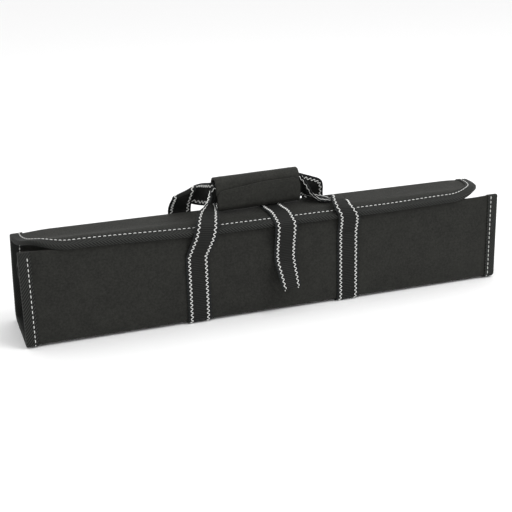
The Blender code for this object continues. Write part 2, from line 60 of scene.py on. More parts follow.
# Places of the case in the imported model
FRONT_FACE_Y = -0.0350014
GAP = 0.0003
WEBBING = 0.0014
WEBBING_WIDTH = 0.025
PANEL = 0.003
TAPE = 0.0008
SHELL_Z = WEBBING + GAP


class Side(Enum):
    """Which way a free stretch of webbing lies inside the grip."""

    FRONT = -1
    BACK = 1


class Slot(Enum):
    """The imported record's material slots."""

    NYLON = "black_padded_nylon"
    TAPE = "black_twill_tape"
    WEBBING = "black_webbing"
    LINING = "thin_black_nylon"


class Corner(NamedTuple):
    """A corner of a bent line, with the radius that rounds it."""

    y: float
    z: float
    radius: float


class Station(NamedTuple):
    """A place on a bent line: its length so far, its point and its normal."""

    s: float
    y: float
    z: float
    ny: float
    nz: float


class Ruling(NamedTuple):
    """A line across a webbing: its middle, its direction, its width and how far it is rolled."""

    centre: Vector
    across: Vector
    width: float
    curl: float


class FreeRow(NamedTuple):
    """One place on a free stretch of webbing, from its leg up to the grip.

    across is 0 at the leg and 1 at the grip's end, back is 0 at the wall's top edge and 1 at the
    grip's axis, up is 0 at the flap's top and 1 at the grip's axis. turn and tilt, in degrees, say
    where the width points; width is a share of the webbing's own, and curl its roll in degrees.
    """

    across: float
    back: float
    up: float
    turn: float
    tilt: float
    width: float
    curl: float


class TailRow(NamedTuple):
    """One place on the closure strap's tail, in shares of the webbing's width and the wall's height."""

    across: float
    out: float
    up: float
    turn: float
    width: float


FRONT_LEFT_RUN = (
    FreeRow(0.12, -0.13, -1.05, 0, -6, 1.00, 0),
    FreeRow(0.24, -0.20, -0.52, 0, -7, 1.00, 0),
    FreeRow(0.33, -0.16, -0.02, 0, -7, 1.00, 25),
    FreeRow(0.42, 0.04, 0.27, 0, -8, 1.00, 70),
    FreeRow(0.53, 0.27, 0.45, 0, -10, 1.00, 130),
    FreeRow(0.64, 0.46, 0.58, 0, -16, 1.00, 230),
    FreeRow(0.75, 0.66, 0.68, 0, -32, 1.00, 300),
    FreeRow(0.82, 0.89, 0.77, 0, -64, 1.00, 290),
    FreeRow(0.93, 0.99, 0.88, 0, -80, 1.00, 110),
    FreeRow(1.08, 1.01, 0.97, 0, -88, 1.00, 15),
)
FRONT_RIGHT_RUN = (
    FreeRow(0.00, -0.10, -0.75, 0, 0, 1.00, 0),
    FreeRow(0.04, -0.17, -0.32, 0, -2, 0.98, 0),
    FreeRow(0.12, -0.10, 0.02, 0, -4, 0.94, 0),
    FreeRow(0.12, 0.10, 0.20, -13, -14, 0.90, 0),
    FreeRow(0.08, 0.27, 0.29, -39, -14, 0.92, 0),
    FreeRow(0.05, 0.42, 0.28, -60, -8, 0.96, 0),
    FreeRow(0.09, 0.53, 0.12, -70, -2, 1.00, 0),
    FreeRow(0.24, 0.80, 0.09, -84, -2, 1.02, 0),
    FreeRow(0.48, 0.95, 0.16, -92, -2, 1.00, 0),
    FreeRow(0.65, 0.98, 0.36, -98, 18, 0.96, 0),
    FreeRow(0.81, 0.97, 0.70, -98, 54, 0.96, 0),
    FreeRow(0.94, 0.99, 0.93, -94, 84, 1.00, 0),
)
BACK_LEFT_RUN = (
    FreeRow(0.00, -0.11, 0.06, 0, 0, 1.00, 0),
    FreeRow(0.01, 0.05, 0.40, 0, 4, 1.00, 0),
    FreeRow(0.04, 0.23, 0.70, -3, 12, 1.04, 0),
    FreeRow(0.08, 0.38, 0.97, -6, 18, 1.08, 0),
    FreeRow(0.12, 0.35, 1.10, -6, 20, 1.10, 0),
    FreeRow(0.16, 0.12, 1.05, -6, 24, 1.08, 0),
    FreeRow(0.27, -0.18, 0.92, -6, 32, 1.04, 0),
    FreeRow(0.53, -0.20, 0.83, -8, 52, 1.00, 0),
    FreeRow(0.77, 0.24, 0.85, -22, 76, 1.00, 0),
    FreeRow(0.95, 0.82, 0.97, -24, 88, 1.00, 0),
)
BACK_RIGHT_RUN = (
    FreeRow(0.37, -0.12, 0.10, 0, 4, 1.00, 0),
    FreeRow(0.39, 0.02, 0.34, -3, 14, 1.02, 0),
    FreeRow(0.43, 0.19, 0.52, -5, 26, 1.04, 0),
    FreeRow(0.52, 0.38, 0.62, -8, 38, 1.04, 0),
    FreeRow(0.65, 0.58, 0.70, -10, 52, 1.00, 0),
    FreeRow(0.81, 0.77, 0.80, -12, 70, 1.00, 0),
    FreeRow(0.96, 0.90, 0.93, -12, 84, 1.00, 0),
)
CLOSURE_TAIL = (
    TailRow(0.01, 0.335, 1.020, 0, 1.00),
    TailRow(0.01, 0.325, 0.950, 0, 1.00),
    TailRow(0.01, 0.230, 0.840, 0, 1.00),
    TailRow(0.01, 0.145, 0.720, 0, 1.00),
    TailRow(0.01, 0.115, 0.630, 0, 1.00),
    TailRow(0.02, 0.210, 0.545, 3, 0.99),
    TailRow(0.06, 0.400, 0.420, 8, 0.96),
    TailRow(0.10, 0.560, 0.290, 14, 0.93),
)


def eased(share: float) -> float:
    """A share from 0 to 1 with soft ends."""
    held = min(1.0, max(0.0, share))
    return held * held * (3 - 2 * held)


def evenly(start: float, end: float, step: float) -> list[float]:
    """Values from start to end, both kept, about a step apart.

    Args:
        start: The first value.
        end: The last value.
        step: The widest space between two values.

    Returns:
        The values in order.
    """
    count = max(1, math.ceil(abs(end - start) / step))
    return [start + (end - start) * index / count for index in range(count + 1)]


class BentPath:
    """A bent line in the YZ plane whose corners are round. Its normal points to its right."""

    arc_step = math.radians(7)
    arc_length_step = 0.003

    def __init__(self, corners: Sequence[Corner]) -> None:
        """Lays the line out.

        Args:
            corners: The corners in order; the first and the last are the line's ends.
        """
        points: list[tuple[Vector, Vector]] = []
        for before, corner, after in zip(corners, corners[1:], corners[2:]):
            points += self._arc(before, corner, after)
        first, last = corners[0], corners[-1]
        points.insert(0, (Vector((first.y, first.z)), points[0][1]))
        points.append((Vector((last.y, last.z)), points[-1][1]))
        self.stations: list[Station] = []
        s = 0.0
        for index, (place, normal) in enumerate(points):
            if index:
                s += (place - points[index - 1][0]).length
            self.stations.append(Station(s, place.x, place.y, normal.x, normal.y))
        self.lengths = [station.s for station in self.stations]
        self.end = self.lengths[-1]

    def _arc(self, before: Corner, corner: Corner, after: Corner) -> list[tuple[Vector, Vector]]:
        """Points and normals round one corner.

        Args:
            before: The corner before.
            corner: The corner to round.
            after: The corner after.

        Returns:
            Points with their normals, in order.
        """
        here = Vector((corner.y, corner.z))
        way_in = (here - Vector((before.y, before.z))).normalized()
        way_out = (Vector((after.y, after.z)) - here).normalized()
        turn = math.atan2(way_in.x * way_out.y - way_in.y * way_out.x, way_in.dot(way_out))
        tangent = corner.radius * math.tan(abs(turn) / 2)
        steps = max(2, math.ceil(abs(turn) / self.arc_step))
        steps = max(steps, math.ceil(abs(turn) * corner.radius / self.arc_length_step))
        side = math.copysign(1.0, turn)
        centre = here - way_in * tangent + Vector((-way_in.y, way_in.x)) * side * corner.radius
        start = math.atan2(-way_in.x * side, way_in.y * side)
        found = []
        for step in range(steps + 1):
            angle = start + turn * step / steps
            outward = Vector((math.cos(angle), math.sin(angle)))
            found.append((centre + outward * corner.radius, outward * side))
        return found

    def at(self, s: float) -> Station:
        """The place at a length along the line, past its ends along its end stretches.

        Args:
            s: Length along the line.

        Returns:
            The place there.
        """
        index = min(max(bisect_left(self.lengths, s), 1), len(self.lengths) - 1)
        a, b = self.stations[index - 1], self.stations[index]
        share = (s - a.s) / (b.s - a.s)
        return Station(s, *(p + (q - p) * share for p, q in zip(a[1:], b[1:])))

    def where(self, reached: Callable[[float, float], bool]) -> float:
        """The first length at which the line meets a condition.

        Args:
            reached: The condition on y and z.

        Returns:
            The length along the line.
        """
        for a, b in zip(self.stations, self.stations[1:]):
            if reached(b.y, b.z):
                low, high = a.s, b.s
                for _ in range(40):
                    middle = (low + high) / 2
                    place = self.at(middle)
                    low, high = (low, middle) if reached(place.y, place.z) else (middle, high)
                return high
        return self.end

    def rows(self, start: float, end: float, step: float) -> list[float]:
        """Lengths from start to end that keep every bend and leave no gap wider than a step.

        Args:
            start: The first length.
            end: The last length; it may be the smaller one.
            step: The widest space.

        Returns:
            The lengths in order.
        """
        low, high = min(start, end), max(start, end)
        kept = [low] + [s for s in self.lengths if low + TINY < s < high - TINY] + [high]
        rows = [low]
        for a, b in zip(kept, kept[1:]):
            rows += evenly(a, b, step)[1:]
        return rows if start < end else rows[::-1]


# --------------------------------------------------------------------------- pieces and finishes


class NodeBoard:
    """A material's node tree, with short calls to add and join nodes."""

    def __init__(self, name: str) -> None:
        """Makes a material with a bare Principled shader.

        Args:
            name: The material's name.
        """
        self.material = bpy.data.materials.new(name)
        self.material.use_nodes = True
        self.tree = self.material.node_tree
        self.shader = self.tree.nodes["Principled BSDF"]
        self.shader.inputs["Specular IOR Level"].default_value = 0.14

    def add(self, kind: str, settings: dict | None = None, **values: object) -> bpy.types.Node:
        """Adds a node.

        Args:
            kind: The node's type without its common beginning.
            settings: Properties of the node itself.
            **values: Values of its inputs, with _ for a space in their names.

        Returns:
            The new node.
        """
        node = self.tree.nodes.new("ShaderNode" + kind)
        for key, value in (settings or {}).items():
            setattr(node, key, value)
        for key, value in values.items():
            node.inputs[key.replace("_", " ")].default_value = value
        return node

    def join(self, source: bpy.types.NodeSocket, target: bpy.types.NodeSocket) -> None:
        """Links an output to an input."""
        self.tree.links.new(source, target)

    def cloth_place(self, turn: float = 0.0) -> bpy.types.NodeSocket:
        """The piece's own cloth map in metres, turned by an angle.

        Args:
            turn: The angle in radians.

        Returns:
            The place on the flat cloth.
        """
        source = self.add("UVMap", {"uv_map": CLOTH_MAP})
        mapping = self.add("Mapping", Rotation=(0.0, 0.0, turn))
        self.join(source.outputs["UV"], mapping.inputs["Vector"])
        return mapping.outputs["Vector"]

    def wave(
        self, place: bpy.types.NodeSocket, axis: str, pitch: float, ragged: float
    ) -> bpy.types.NodeSocket:
        """Even ribs of a given pitch along one axis of the cloth map.

        Args:
            place: The place on the cloth.
            axis: The axis across the ribs.
            pitch: Distance from rib to rib.
            ragged: How uneven the ribs are.

        Returns:
            A value from 0 to 1.
        """
        node = self.add(
            "TexWave",
            {"bands_direction": axis},
            Scale=math.pi / 10 / pitch,
            Distortion=ragged,
            Detail=1.0,
            Detail_Scale=0.5,
        )
        self.join(place, node.inputs["Vector"])
        return node.outputs["Fac"]

    def noise(self, grain: float, detail: float = 3.0, roughness: float = 0.55) -> bpy.types.NodeSocket:
        """Noise in the object's own space, with grains of a given size.

        Args:
            grain: Size of a grain.
            detail: Number of finer layers.
            roughness: Strength of the finer layers.

        Returns:
            A value round 0.5.
        """
        place = self.add("TexCoord")
        node = self.add("TexNoise", Scale=1 / grain, Detail=detail, Roughness=roughness)
        self.join(place.outputs["Object"], node.inputs["Vector"])
        return node.outputs["Fac"]

    def sum_of(self, parts: Sequence[tuple[bpy.types.NodeSocket, float]]) -> bpy.types.NodeSocket:
        """The sum of several values, each with its weight.

        Args:
            parts: Values and their weights.

        Returns:
            The sum.
        """
        total: bpy.types.NodeSocket | None = None
        for socket, weight in parts:
            scaled = self.add("Math", {"operation": "MULTIPLY_ADD"})
            self.join(socket, scaled.inputs[0])
            scaled.inputs[1].default_value = weight
            scaled.inputs[2].default_value = 0.0
            if total is not None:
                self.join(total, scaled.inputs[2])
            total = scaled.outputs[0]
        return total

    def shade(
        self, value: bpy.types.NodeSocket, low: float, high: float, stops: Sequence[Sequence[float]]
    ) -> None:
        """Runs a value from low to high through evenly spaced colours into the base colour.

        Args:
            value: The value.
            low: Where the first colour ends.
            high: Where the last colour starts.
            stops: The colours.
        """
        span = self.add("MapRange", From_Min=low, From_Max=high)
        self.join(value, span.inputs["Value"])
        ramp = self.add("ValToRGB")
        while len(ramp.color_ramp.elements) < len(stops):
            ramp.color_ramp.elements.new(0.5)
        for index, colour in enumerate(stops):
            element = ramp.color_ramp.elements[index]
            element.position = index / (len(stops) - 1)
            element.color = (*colour, 1.0)
        self.join(span.outputs["Result"], ramp.inputs["Fac"])
        self.join(ramp.outputs["Color"], self.shader.inputs["Base Color"])

    def relief(self, height: bpy.types.NodeSocket, depth: float) -> None:
        """Gives the surface a relief of a given depth in metres.

        Args:
            height: Height as a share of the depth.
            depth: The depth.
        """
        bump = self.add("Bump", Strength=1.0, Distance=depth)
        self.join(height, bump.inputs["Height"])
        self.join(bump.outputs["Normal"], self.shader.inputs["Normal"])

    def roughness(self, value: bpy.types.NodeSocket, low: float, high: float) -> None:
        """Lets a value from 0 to 1 drive the roughness between two limits.

        Args:
            value: The driving value.
            low: Roughness at 0.
            high: Roughness at 1.
        """
        span = self.add("MapRange", To_Min=low, To_Max=high)
        self.join(value, span.inputs["Value"])
        self.join(span.outputs["Result"], self.shader.inputs["Roughness"])

    def sheen(self, weight: float, roughness: float, tint: Sequence[float]) -> None:
        """Gives the cloth its soft edge light.

        Args:
            weight: Its strength.
            roughness: Its spread.
            tint: Its colour.
        """
        self.shader.inputs["Sheen Weight"].default_value = weight
        self.shader.inputs["Sheen Roughness"].default_value = roughness
        self.shader.inputs["Sheen Tint"].default_value = (*tint, 1.0)


@dataclass(frozen=True)
class WovenNylon:
    """Dense plain-woven nylon, slightly brushed and mottled."""

    name: str
    dark: tuple[float, float, float]
    light: tuple[float, float, float]
    pitch: float = 0.00062
    relief: float = 0.00012
    roughness: float = 0.74
    sheen: float = 0.045

    def material(self) -> bpy.types.Material:
        """Makes the material.

        Returns:
            The material.
        """
        board = NodeBoard(self.name)
        place = board.cloth_place()
        warp = board.wave(place, "X", self.pitch, 0.6)
        weft = board.wave(place, "Y", self.pitch, 0.6)
        crossing = board.add("Math", {"operation": "MAXIMUM"})
        board.join(warp, crossing.inputs[0])
        board.join(weft, crossing.inputs[1])
        fibres = board.noise(0.0021, 5.0, 0.75)
        patches = board.noise(0.016, 2.0)
        broad = board.noise(0.07, 1.0)
        # the weave's crossings add a slight painted shade and highlight between the threads; fibres, patches
        # and broad are random tone
        mixed = board.sum_of(
            ((fibres, 0.62), (patches, 0.20), (broad, 0.12), (crossing.outputs[0], 0.10))
        )
        board.shade(mixed, 0.38, 0.68, (self.dark, self.light))
        height = board.sum_of(((crossing.outputs[0], 0.7), (fibres, 1.1)))
        board.relief(height, self.relief)
        board.roughness(patches, self.roughness - 0.06, self.roughness + 0.10)
        board.sheen(self.sheen, 0.45, (0.85, 0.86, 0.80))
        return board.material


@dataclass(frozen=True)
class TwillTape:
    """Twill tape with slanting ribs. Their relief is real, and their shade in the grooves and highlight on
    the crests are also painted into its colour.
    """

    name: str = "black_twill_tape_ribbed"
    # dark is the painted shade in the rib grooves; light is the painted highlight on the crests, together
    # with the lighter fibres
    dark: tuple[float, float, float] = (0.0008, 0.0009, 0.0008)
    light: tuple[float, float, float] = (0.0330, 0.0342, 0.0315)
    pitch: float = 0.0021
    slant: float = math.radians(38)

    def material(self) -> bpy.types.Material:
        """Makes the material.

        Returns:
            The material.
        """
        board = NodeBoard(self.name)
        ribs = board.wave(board.cloth_place(self.slant), "X", self.pitch, 0.25)
        threads = board.wave(board.cloth_place(self.slant), "Y", self.pitch * 0.5, 0.8)
        fibres = board.noise(0.0012, 3.0, 0.7)
        # painted shade and highlight: the ribs' wave darkens the colour in the grooves and lightens it on the
        # crests; the threads and fibres add real grain
        board.shade(
            board.sum_of(((ribs, 0.80), (threads, 0.08), (fibres, 0.24))), 0.20, 0.90, (self.dark, self.light)
        )
        board.relief(board.sum_of(((ribs, 0.5), (threads, 0.22), (fibres, 0.2))), 0.00016)
        board.shader.inputs["Roughness"].default_value = 0.66
        board.sheen(0.03, 0.4, (0.8, 0.84, 0.84))
        return board.material


@dataclass(frozen=True)
class RibbedWebbing:
    """Webbing with ribs across it, their shade and highlight painted into its colour as well as raised in
    relief; its plain selvedges a cooler and lighter grey.
    """

    name: str = "black_webbing_ribbed"
    # dark is the painted shade between the ribs; light is the painted highlight on their tops, together with
    # the lighter fibres
    dark: tuple[float, float, float] = (0.0026, 0.0027, 0.0025)
    light: tuple[float, float, float] = (0.0165, 0.0169, 0.0156)
    edge_dark: tuple[float, float, float] = (0.0032, 0.0037, 0.0037)
    edge_light: tuple[float, float, float] = (0.0140, 0.0158, 0.0160)
    pitch: float = 0.0019
    selvedge: float = 0.0022

    def material(self) -> bpy.types.Material:
        """Makes the material.

        Returns:
            The material.
        """
        board = NodeBoard(self.name)
        place = board.cloth_place()
        ribs = board.wave(place, "Y", self.pitch, 0.7)
        cords = board.wave(place, "X", self.pitch * 0.62, 0.5)
        fibres = board.noise(0.0011, 3.0, 0.7)
        patches = board.noise(0.012, 2.0)
        # painted shade and highlight: the ribs and cords darken the colour between them and lighten it on
        # their tops; fibres and patches are random tone
        value = board.sum_of(((ribs, 0.56), (cords, 0.12), (fibres, 0.28), (patches, 0.18)))
        span = board.add("MapRange", From_Min=0.24, From_Max=0.88)
        board.join(value, span.inputs["Value"])
        across = board.add("SeparateXYZ")
        board.join(place, across.inputs["Vector"])
        apart = board.add("Math", {"operation": "ABSOLUTE"})
        board.join(across.outputs["X"], apart.inputs[0])
        edge = board.add(
            "MapRange",
            From_Min=WEBBING_WIDTH / 2 - self.selvedge - 0.0006,
            From_Max=WEBBING_WIDTH / 2 - self.selvedge + 0.0006,
        )
        board.join(apart.outputs[0], edge.inputs["Value"])
        inner = self._blend(board, span.outputs["Result"], self.dark, self.light)
        outer = self._blend(board, span.outputs["Result"], self.edge_dark, self.edge_light)
        both = board.add("Mix", {"data_type": "RGBA"})
        board.join(edge.outputs["Result"], both.inputs["Factor"])
        board.join(inner, both.inputs[6])
        board.join(outer, both.inputs[7])
        board.join(both.outputs[2], board.shader.inputs["Base Color"])
        board.relief(board.sum_of(((ribs, 0.6), (cords, 0.4), (fibres, 0.25))), 0.00018)
        board.shader.inputs["Roughness"].default_value = 0.60
        board.sheen(0.03, 0.4, (0.8, 0.86, 0.88))
        return board.material

    @staticmethod
    def _blend(
        board: NodeBoard,
        share: bpy.types.NodeSocket,
        low: tuple[float, float, float],
        high: tuple[float, float, float],
    ) -> bpy.types.NodeSocket:
        """A colour between two, by a share.

        Args:
            board: The node tree.
            share: The share of the second colour.
            low: The first colour.
            high: The second colour.

        Returns:
            The mixed colour.
        """
        mix = board.add("Mix", {"data_type": "RGBA"})
        board.join(share, mix.inputs["Factor"])
        mix.inputs[6].default_value = (*low, 1.0)
        mix.inputs[7].default_value = (*high, 1.0)
        return mix.outputs[2]


@dataclass(frozen=True)
class SewingThread:
    """Twisted sewing thread."""

    name: str
    dark: tuple[float, float, float]
    light: tuple[float, float, float]
    roughness: float = 0.55

    def material(self) -> bpy.types.Material:
        """Makes the material.

        Returns:
            The material.
        """
        board = NodeBoard(self.name)
        fibres = board.noise(0.0005, 2.0, 0.6)
        board.shade(fibres, 0.3, 0.7, (self.dark, self.light))
        board.relief(fibres, 0.00006)
        board.shader.inputs["Roughness"].default_value = self.roughness
        return board.material


class Piece:
    """A visible piece: its object, how it rides and what it stands for."""

    def __init__(self, made: bpy.types.Object, finish: bpy.types.Material) -> None:
        """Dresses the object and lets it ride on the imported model's one body.

        Args:
            made: The finished object.
            finish: Its material.
        """
        self.object = made
        made.data.materials.clear()
        made.data.materials.append(finish)
        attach(made, "root")
        LOG.info("piece %s: %d faces", made.name, len(made.data.polygons))

    def stands_for(self, node: str, slot: Slot) -> Piece:
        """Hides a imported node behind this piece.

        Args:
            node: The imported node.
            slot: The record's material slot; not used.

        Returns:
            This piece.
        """
        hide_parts(node)
        return self


def rest_selection() -> None:
    """Leaves object mode and deselects everything."""
    if bpy.context.mode != "OBJECT":
        bpy.ops.object.mode_set(mode="OBJECT")
    bpy.ops.object.select_all(action="DESELECT")


def pick(made: bpy.types.Object) -> None:
    """Makes one object the selected and active one.

    Args:
        made: The object.
    """
    rest_selection()
    made.select_set(True)
    bpy.context.view_layer.objects.active = made


def apply_modifiers(made: bpy.types.Object) -> None:
    """Applies all modifiers of an object in order.

    Args:
        made: The object.
    """
    pick(made)
    for modifier in list(made.modifiers):
        bpy.ops.object.modifier_apply(modifier=modifier.name)


def folded_cloth(
    name: str,
    columns: Sequence[float],
    rows: Sequence[float],
    place: Callable[[float, float], Vector],
    flat: Callable[[float, float], tuple[float, float]],
    thickness: float,
    rim: float,
) -> bpy.types.Object:
    """Cuts a flat piece of cloth, folds it into place and gives it its thickness.

    Args:
        name: The piece's name.
        columns: Values across the cloth, one for each column of corners.
        rows: Values along the cloth, one for each row of corners.
        place: Where a column value and a row value come to lie once folded.
        flat: The same two values on the flat cloth, in metres.
        thickness: The cloth's thickness, half to each side.
        rim: The radius that rounds its cut edges.

    Returns:
        The finished object, at the origin.
    """
    rest_selection()
    across, along = len(columns) - 1, len(rows) - 1
    bpy.ops.mesh.primitive_grid_add(x_subdivisions=across, y_subdivisions=along, size=1.0)
    made = bpy.context.active_object
    made.name = made.data.name = name
    mesh = made.data
    keys = [
        (columns[round((v.co.x + 0.5) * across)], rows[round((v.co.y + 0.5) * along)]) for v in mesh.vertices
    ]
    for vertex, key in zip(mesh.vertices, keys):
        vertex.co = place(*key)
    for layer in list(mesh.uv_layers):
        mesh.uv_layers.remove(layer)
    layer = mesh.uv_layers.new(name=CLOTH_MAP)
    for loop in mesh.loops:
        layer.data[loop.index].uv = flat(*keys[loop.vertex_index])
    wall = made.modifiers.new("wall", "SOLIDIFY")
    wall.thickness = thickness
    wall.offset = 0.0
    wall.use_even_offset = True
    wall.use_quality_normals = True
    edge = made.modifiers.new("rim", "BEVEL")
    edge.width = rim
    edge.segments = 2
    edge.limit_method = "ANGLE"
    edge.angle_limit = math.radians(50)
    edge.loop_slide = False
    apply_modifiers(made)
    outward(made)
    return made


def outward(made: bpy.types.Object) -> None:
    """Turns a closed mesh's faces outwards and shades it smooth.

    Args:
        made: The closed mesh.
    """
    pick(made)
    bpy.ops.object.mode_set(mode="EDIT")
    bpy.ops.mesh.select_all(action="SELECT")
    bpy.ops.mesh.normals_make_consistent(inside=False)
    bpy.ops.object.mode_set(mode="OBJECT")
    bpy.ops.object.shade_smooth_by_angle(angle=math.radians(50))
    rest_selection()


def lofted(
    name: str, rings: Sequence[Sequence[Vector]], flat: Sequence[Sequence[tuple[float, float]]]
) -> bpy.types.Object:
    """A closed skin over rings of points, with both ends capped.

    Args:
        name: The piece's name.
        rings: Rings with the same number of points each.
        flat: The flat cloth's place of each point of each ring, in metres.

    Returns:
        The finished object, at the origin.
    """
    shape = bmesh.new()
    layer = shape.loops.layers.uv.new(CLOTH_MAP)
    grid = [[shape.verts.new(point) for point in ring] for ring in rings]
    places = {vertex: uv for ring, row in zip(grid, flat) for vertex, uv in zip(ring, row)}
    for ring, following in zip(grid, grid[1:]):
        count = len(ring)
        for index in range(count):
            after = (index + 1) % count
            shape.faces.new((ring[index], ring[after], following[after], following[index]))
    shape.faces.new(grid[0][::-1])
    shape.faces.new(grid[-1])
    for face in shape.faces:
        for loop in face.loops:
            loop[layer].uv = places[loop.vert]
    bmesh.ops.recalc_face_normals(shape, faces=shape.faces)
    mesh = bpy.data.meshes.new(name)
    shape.to_mesh(mesh)
    shape.free()
    made = bpy.data.objects.new(name, mesh)
    bpy.context.scene.collection.objects.link(made)
    pick(made)
    bpy.ops.object.shade_smooth_by_angle(angle=math.radians(50))
    rest_selection()
    return made


def sewn_threads(name: str, runs: Sequence[Sequence[Vector]], radius: float) -> bpy.types.Object:
    """Round threads along several runs of points, as one mesh.

    Args:
        name: The piece's name.
        runs: The points that each thread follows.
        radius: The thread's radius.

    Returns:
        The finished object, at the origin.
    """
    line = bpy.data.curves.new(name, "CURVE")
    line.dimensions = "3D"
    line.bevel_depth = radius
    line.bevel_resolution = 1
    line.use_fill_caps = True
    for run in runs:
        spline = line.splines.new("POLY")
        spline.points.add(len(run) - 1)
        for point, place in zip(spline.points, run):
            point.co = (*place, 1.0)
    made = bpy.data.objects.new(name, line)
    bpy.context.scene.collection.objects.link(made)
    pick(made)
    bpy.ops.object.convert(target="MESH")
    made = bpy.context.active_object
    made.name = made.data.name = name
    bpy.ops.object.shade_smooth()
    rest_selection()
    return made


# --------------------------------------------------------------------------- the case


@dataclass
class FoldedSheet:
    """The padded sheet's folded form, which everything that lies on it follows."""

    length: float = 0.520
    front_height: float = 0.0925
    bottom_depth: float = 0.088
    belly_depth: float = 0.0755
    belly_height: float = 0.050
    top_depth: float = 0.0575
    top_rise: float = 0.010
    right_end_draw: float = 0.008
    corner_rise: float = 0.0010
    corner_run: float = 0.030
    left_lift: float = 0.0038
    right_lift: float = 0.0016
    end_droop: float = 0.0020
    flap_overhang: float = 0.004
    flap_dip: float = math.radians(22)
    flap_dip_run: float = 0.0165
    flap_corner_radius: float = 0.052
    back_fold_radius: float = 0.008
    top_fold_radius: float = 0.008
    path: BentPath = field(init=False)

    def __post_init__(self) -> None:
        """Folds the section: front wall, bottom, bulging back, top and dipping flap."""
        self.top_height = self.front_height + self.top_rise
        flap_z = self.front_height + (PANEL + TAPE + 2 * GAP) / math.cos(self.flap_dip)
        bend_y = self.flap_dip_run * math.cos(self.flap_dip) - self.flap_overhang
        slope = math.tan(self.flap_dip)
        self.path = BentPath(
            (
                Corner(0.0, self.front_height, 0.0),
                Corner(0.0, 0.0, 0.0055),
                Corner(self.bottom_depth, 0.0, self.back_fold_radius),
                Corner(self.belly_depth, self.belly_height, 0.070),
                Corner(self.top_depth, self.top_height, self.top_fold_radius),
                Corner(bend_y, flap_z + bend_y * slope, 0.036),
                Corner(-self.flap_overhang, flap_z - self.flap_overhang * slope, 0.0),
            )
        )
        self.end = self.path.end
        half_depth = self.bottom_depth / 2
        self.back_bottom = self.path.where(lambda y, z: y > half_depth and z > self.back_fold_radius)
        self.back_top = self.path.where(lambda y, z: z > self.top_height - self.top_fold_radius)
        self.front_bottom = self.path.where(lambda y, z: z < 0.008)

    def swell(self, u: float, v: float) -> float:
        """How far the padding stands off its even shape.

        Args:
            u: Place along the case.
            v: Place along the section.

        Returns:
            The height, outwards positive.
        """
        inside = eased((0.246 - abs(u)) / 0.02)
        rolling = math.sin(u * 29.0 + 0.7) * math.cos(v * 41.0 - 0.4)
        rolling += 0.55 * math.sin(u * 71.0 - v * 58.0 + 1.1) + 0.30 * math.sin(u * 133.0 + v * 97.0)
        wall = eased((v - 0.006) / 0.02) * eased((self.front_bottom - v) / 0.02)
        back = eased((v - self.back_bottom) / 0.02) * eased((self.back_top - v) / 0.02)
        top = eased((v - self.back_top - 0.012) / 0.02) * eased((self.end - 0.016 - v) / 0.012)
        sunk = -0.00034 * (1.0 + 0.5 * rolling)
        return inside * (0.00026 * rolling * wall + 0.0005 * rolling * back + sunk * top)

    def lift(self, u: float, v: float) -> float:
        """How far the front wall's top and the flap's nose rise, and the top droops, near the ends.

        Args:
            u: Place along the case.
            v: Place along the section.

        Returns:
            The height, upwards positive.
        """
        raised = self.left_lift * eased((-u - 0.06) / 0.15) + self.right_lift * eased((u - 0.12) / 0.08)
        wall = eased(1.0 - v / 0.07)
        nose = eased((v - (self.end - 0.034)) / 0.026)
        over = eased((v - self.back_top + 0.030) / 0.030) * eased((self.end - 0.012 - v) / 0.030)
        return raised * (wall + nose) - self.end_droop * eased((abs(u) - 0.222) / 0.038) * over

    def point(self, u: float, v: float, depth: float) -> Vector:
        """A point of the sheet.

        Args:
            u: Place along the case.
            v: Place along the section.
            depth: How far in from the outer face.

        Returns:
            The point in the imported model's frame.
        """
        place = self.path.at(v)
        inward = depth - self.swell(u, v)
        y = FRONT_FACE_Y + place.y - place.ny * inward
        return Vector((u, y, SHELL_Z + place.z - place.nz * inward + self.lift(u, v)))

    def end_reach(self, v: float, side: float) -> float:
        """How far the sheet reaches in X; its right end is drawn in towards the top.

        Args:
            v: Place along the section.
            side: Negative for the left end.

        Returns:
            The distance from the middle.
        """
        if side < 0:
            return self.length / 2
        share = (v - self.back_bottom) / (self.back_top - self.back_bottom)
        return self.length / 2 - self.right_end_draw * eased(share)

    def half_width(self, v: float, side: float) -> float:
        """The sheet's half on one side; the flap's corners are round.

        Args:
            v: Place along the section.
            side: Negative for the left half.

        Returns:
            The distance from the middle.
        """
        reach = self.end_reach(v, side)
        into_corner = v - (self.end - self.flap_corner_radius)
        if into_corner <= 0:
            return reach
        chord = math.sqrt(max(0.0, self.flap_corner_radius**2 - into_corner**2))
        return reach - self.flap_corner_radius + chord

    def front_top(self, u: float) -> float:
        """How far the front wall's corners stand above its top edge."""
        return self.corner_rise * eased((abs(u) - (self.length / 2 - self.corner_run)) / self.corner_run)

    def flap_top_at(self, y: float) -> float:
        """Height of the flap's upper face at a distance back from the front wall.

        Args:
            y: Distance back from the front wall's face.

        Returns:
            Height above the sheet's own foot.
        """
        highest = self.path.where(lambda _, z: z >= self.top_height - self.top_fold_radius / 2)
        found = self.path.where(lambda py, pz: pz > self.front_height and py <= y)
        return self.path.at(max(found, highest)).z


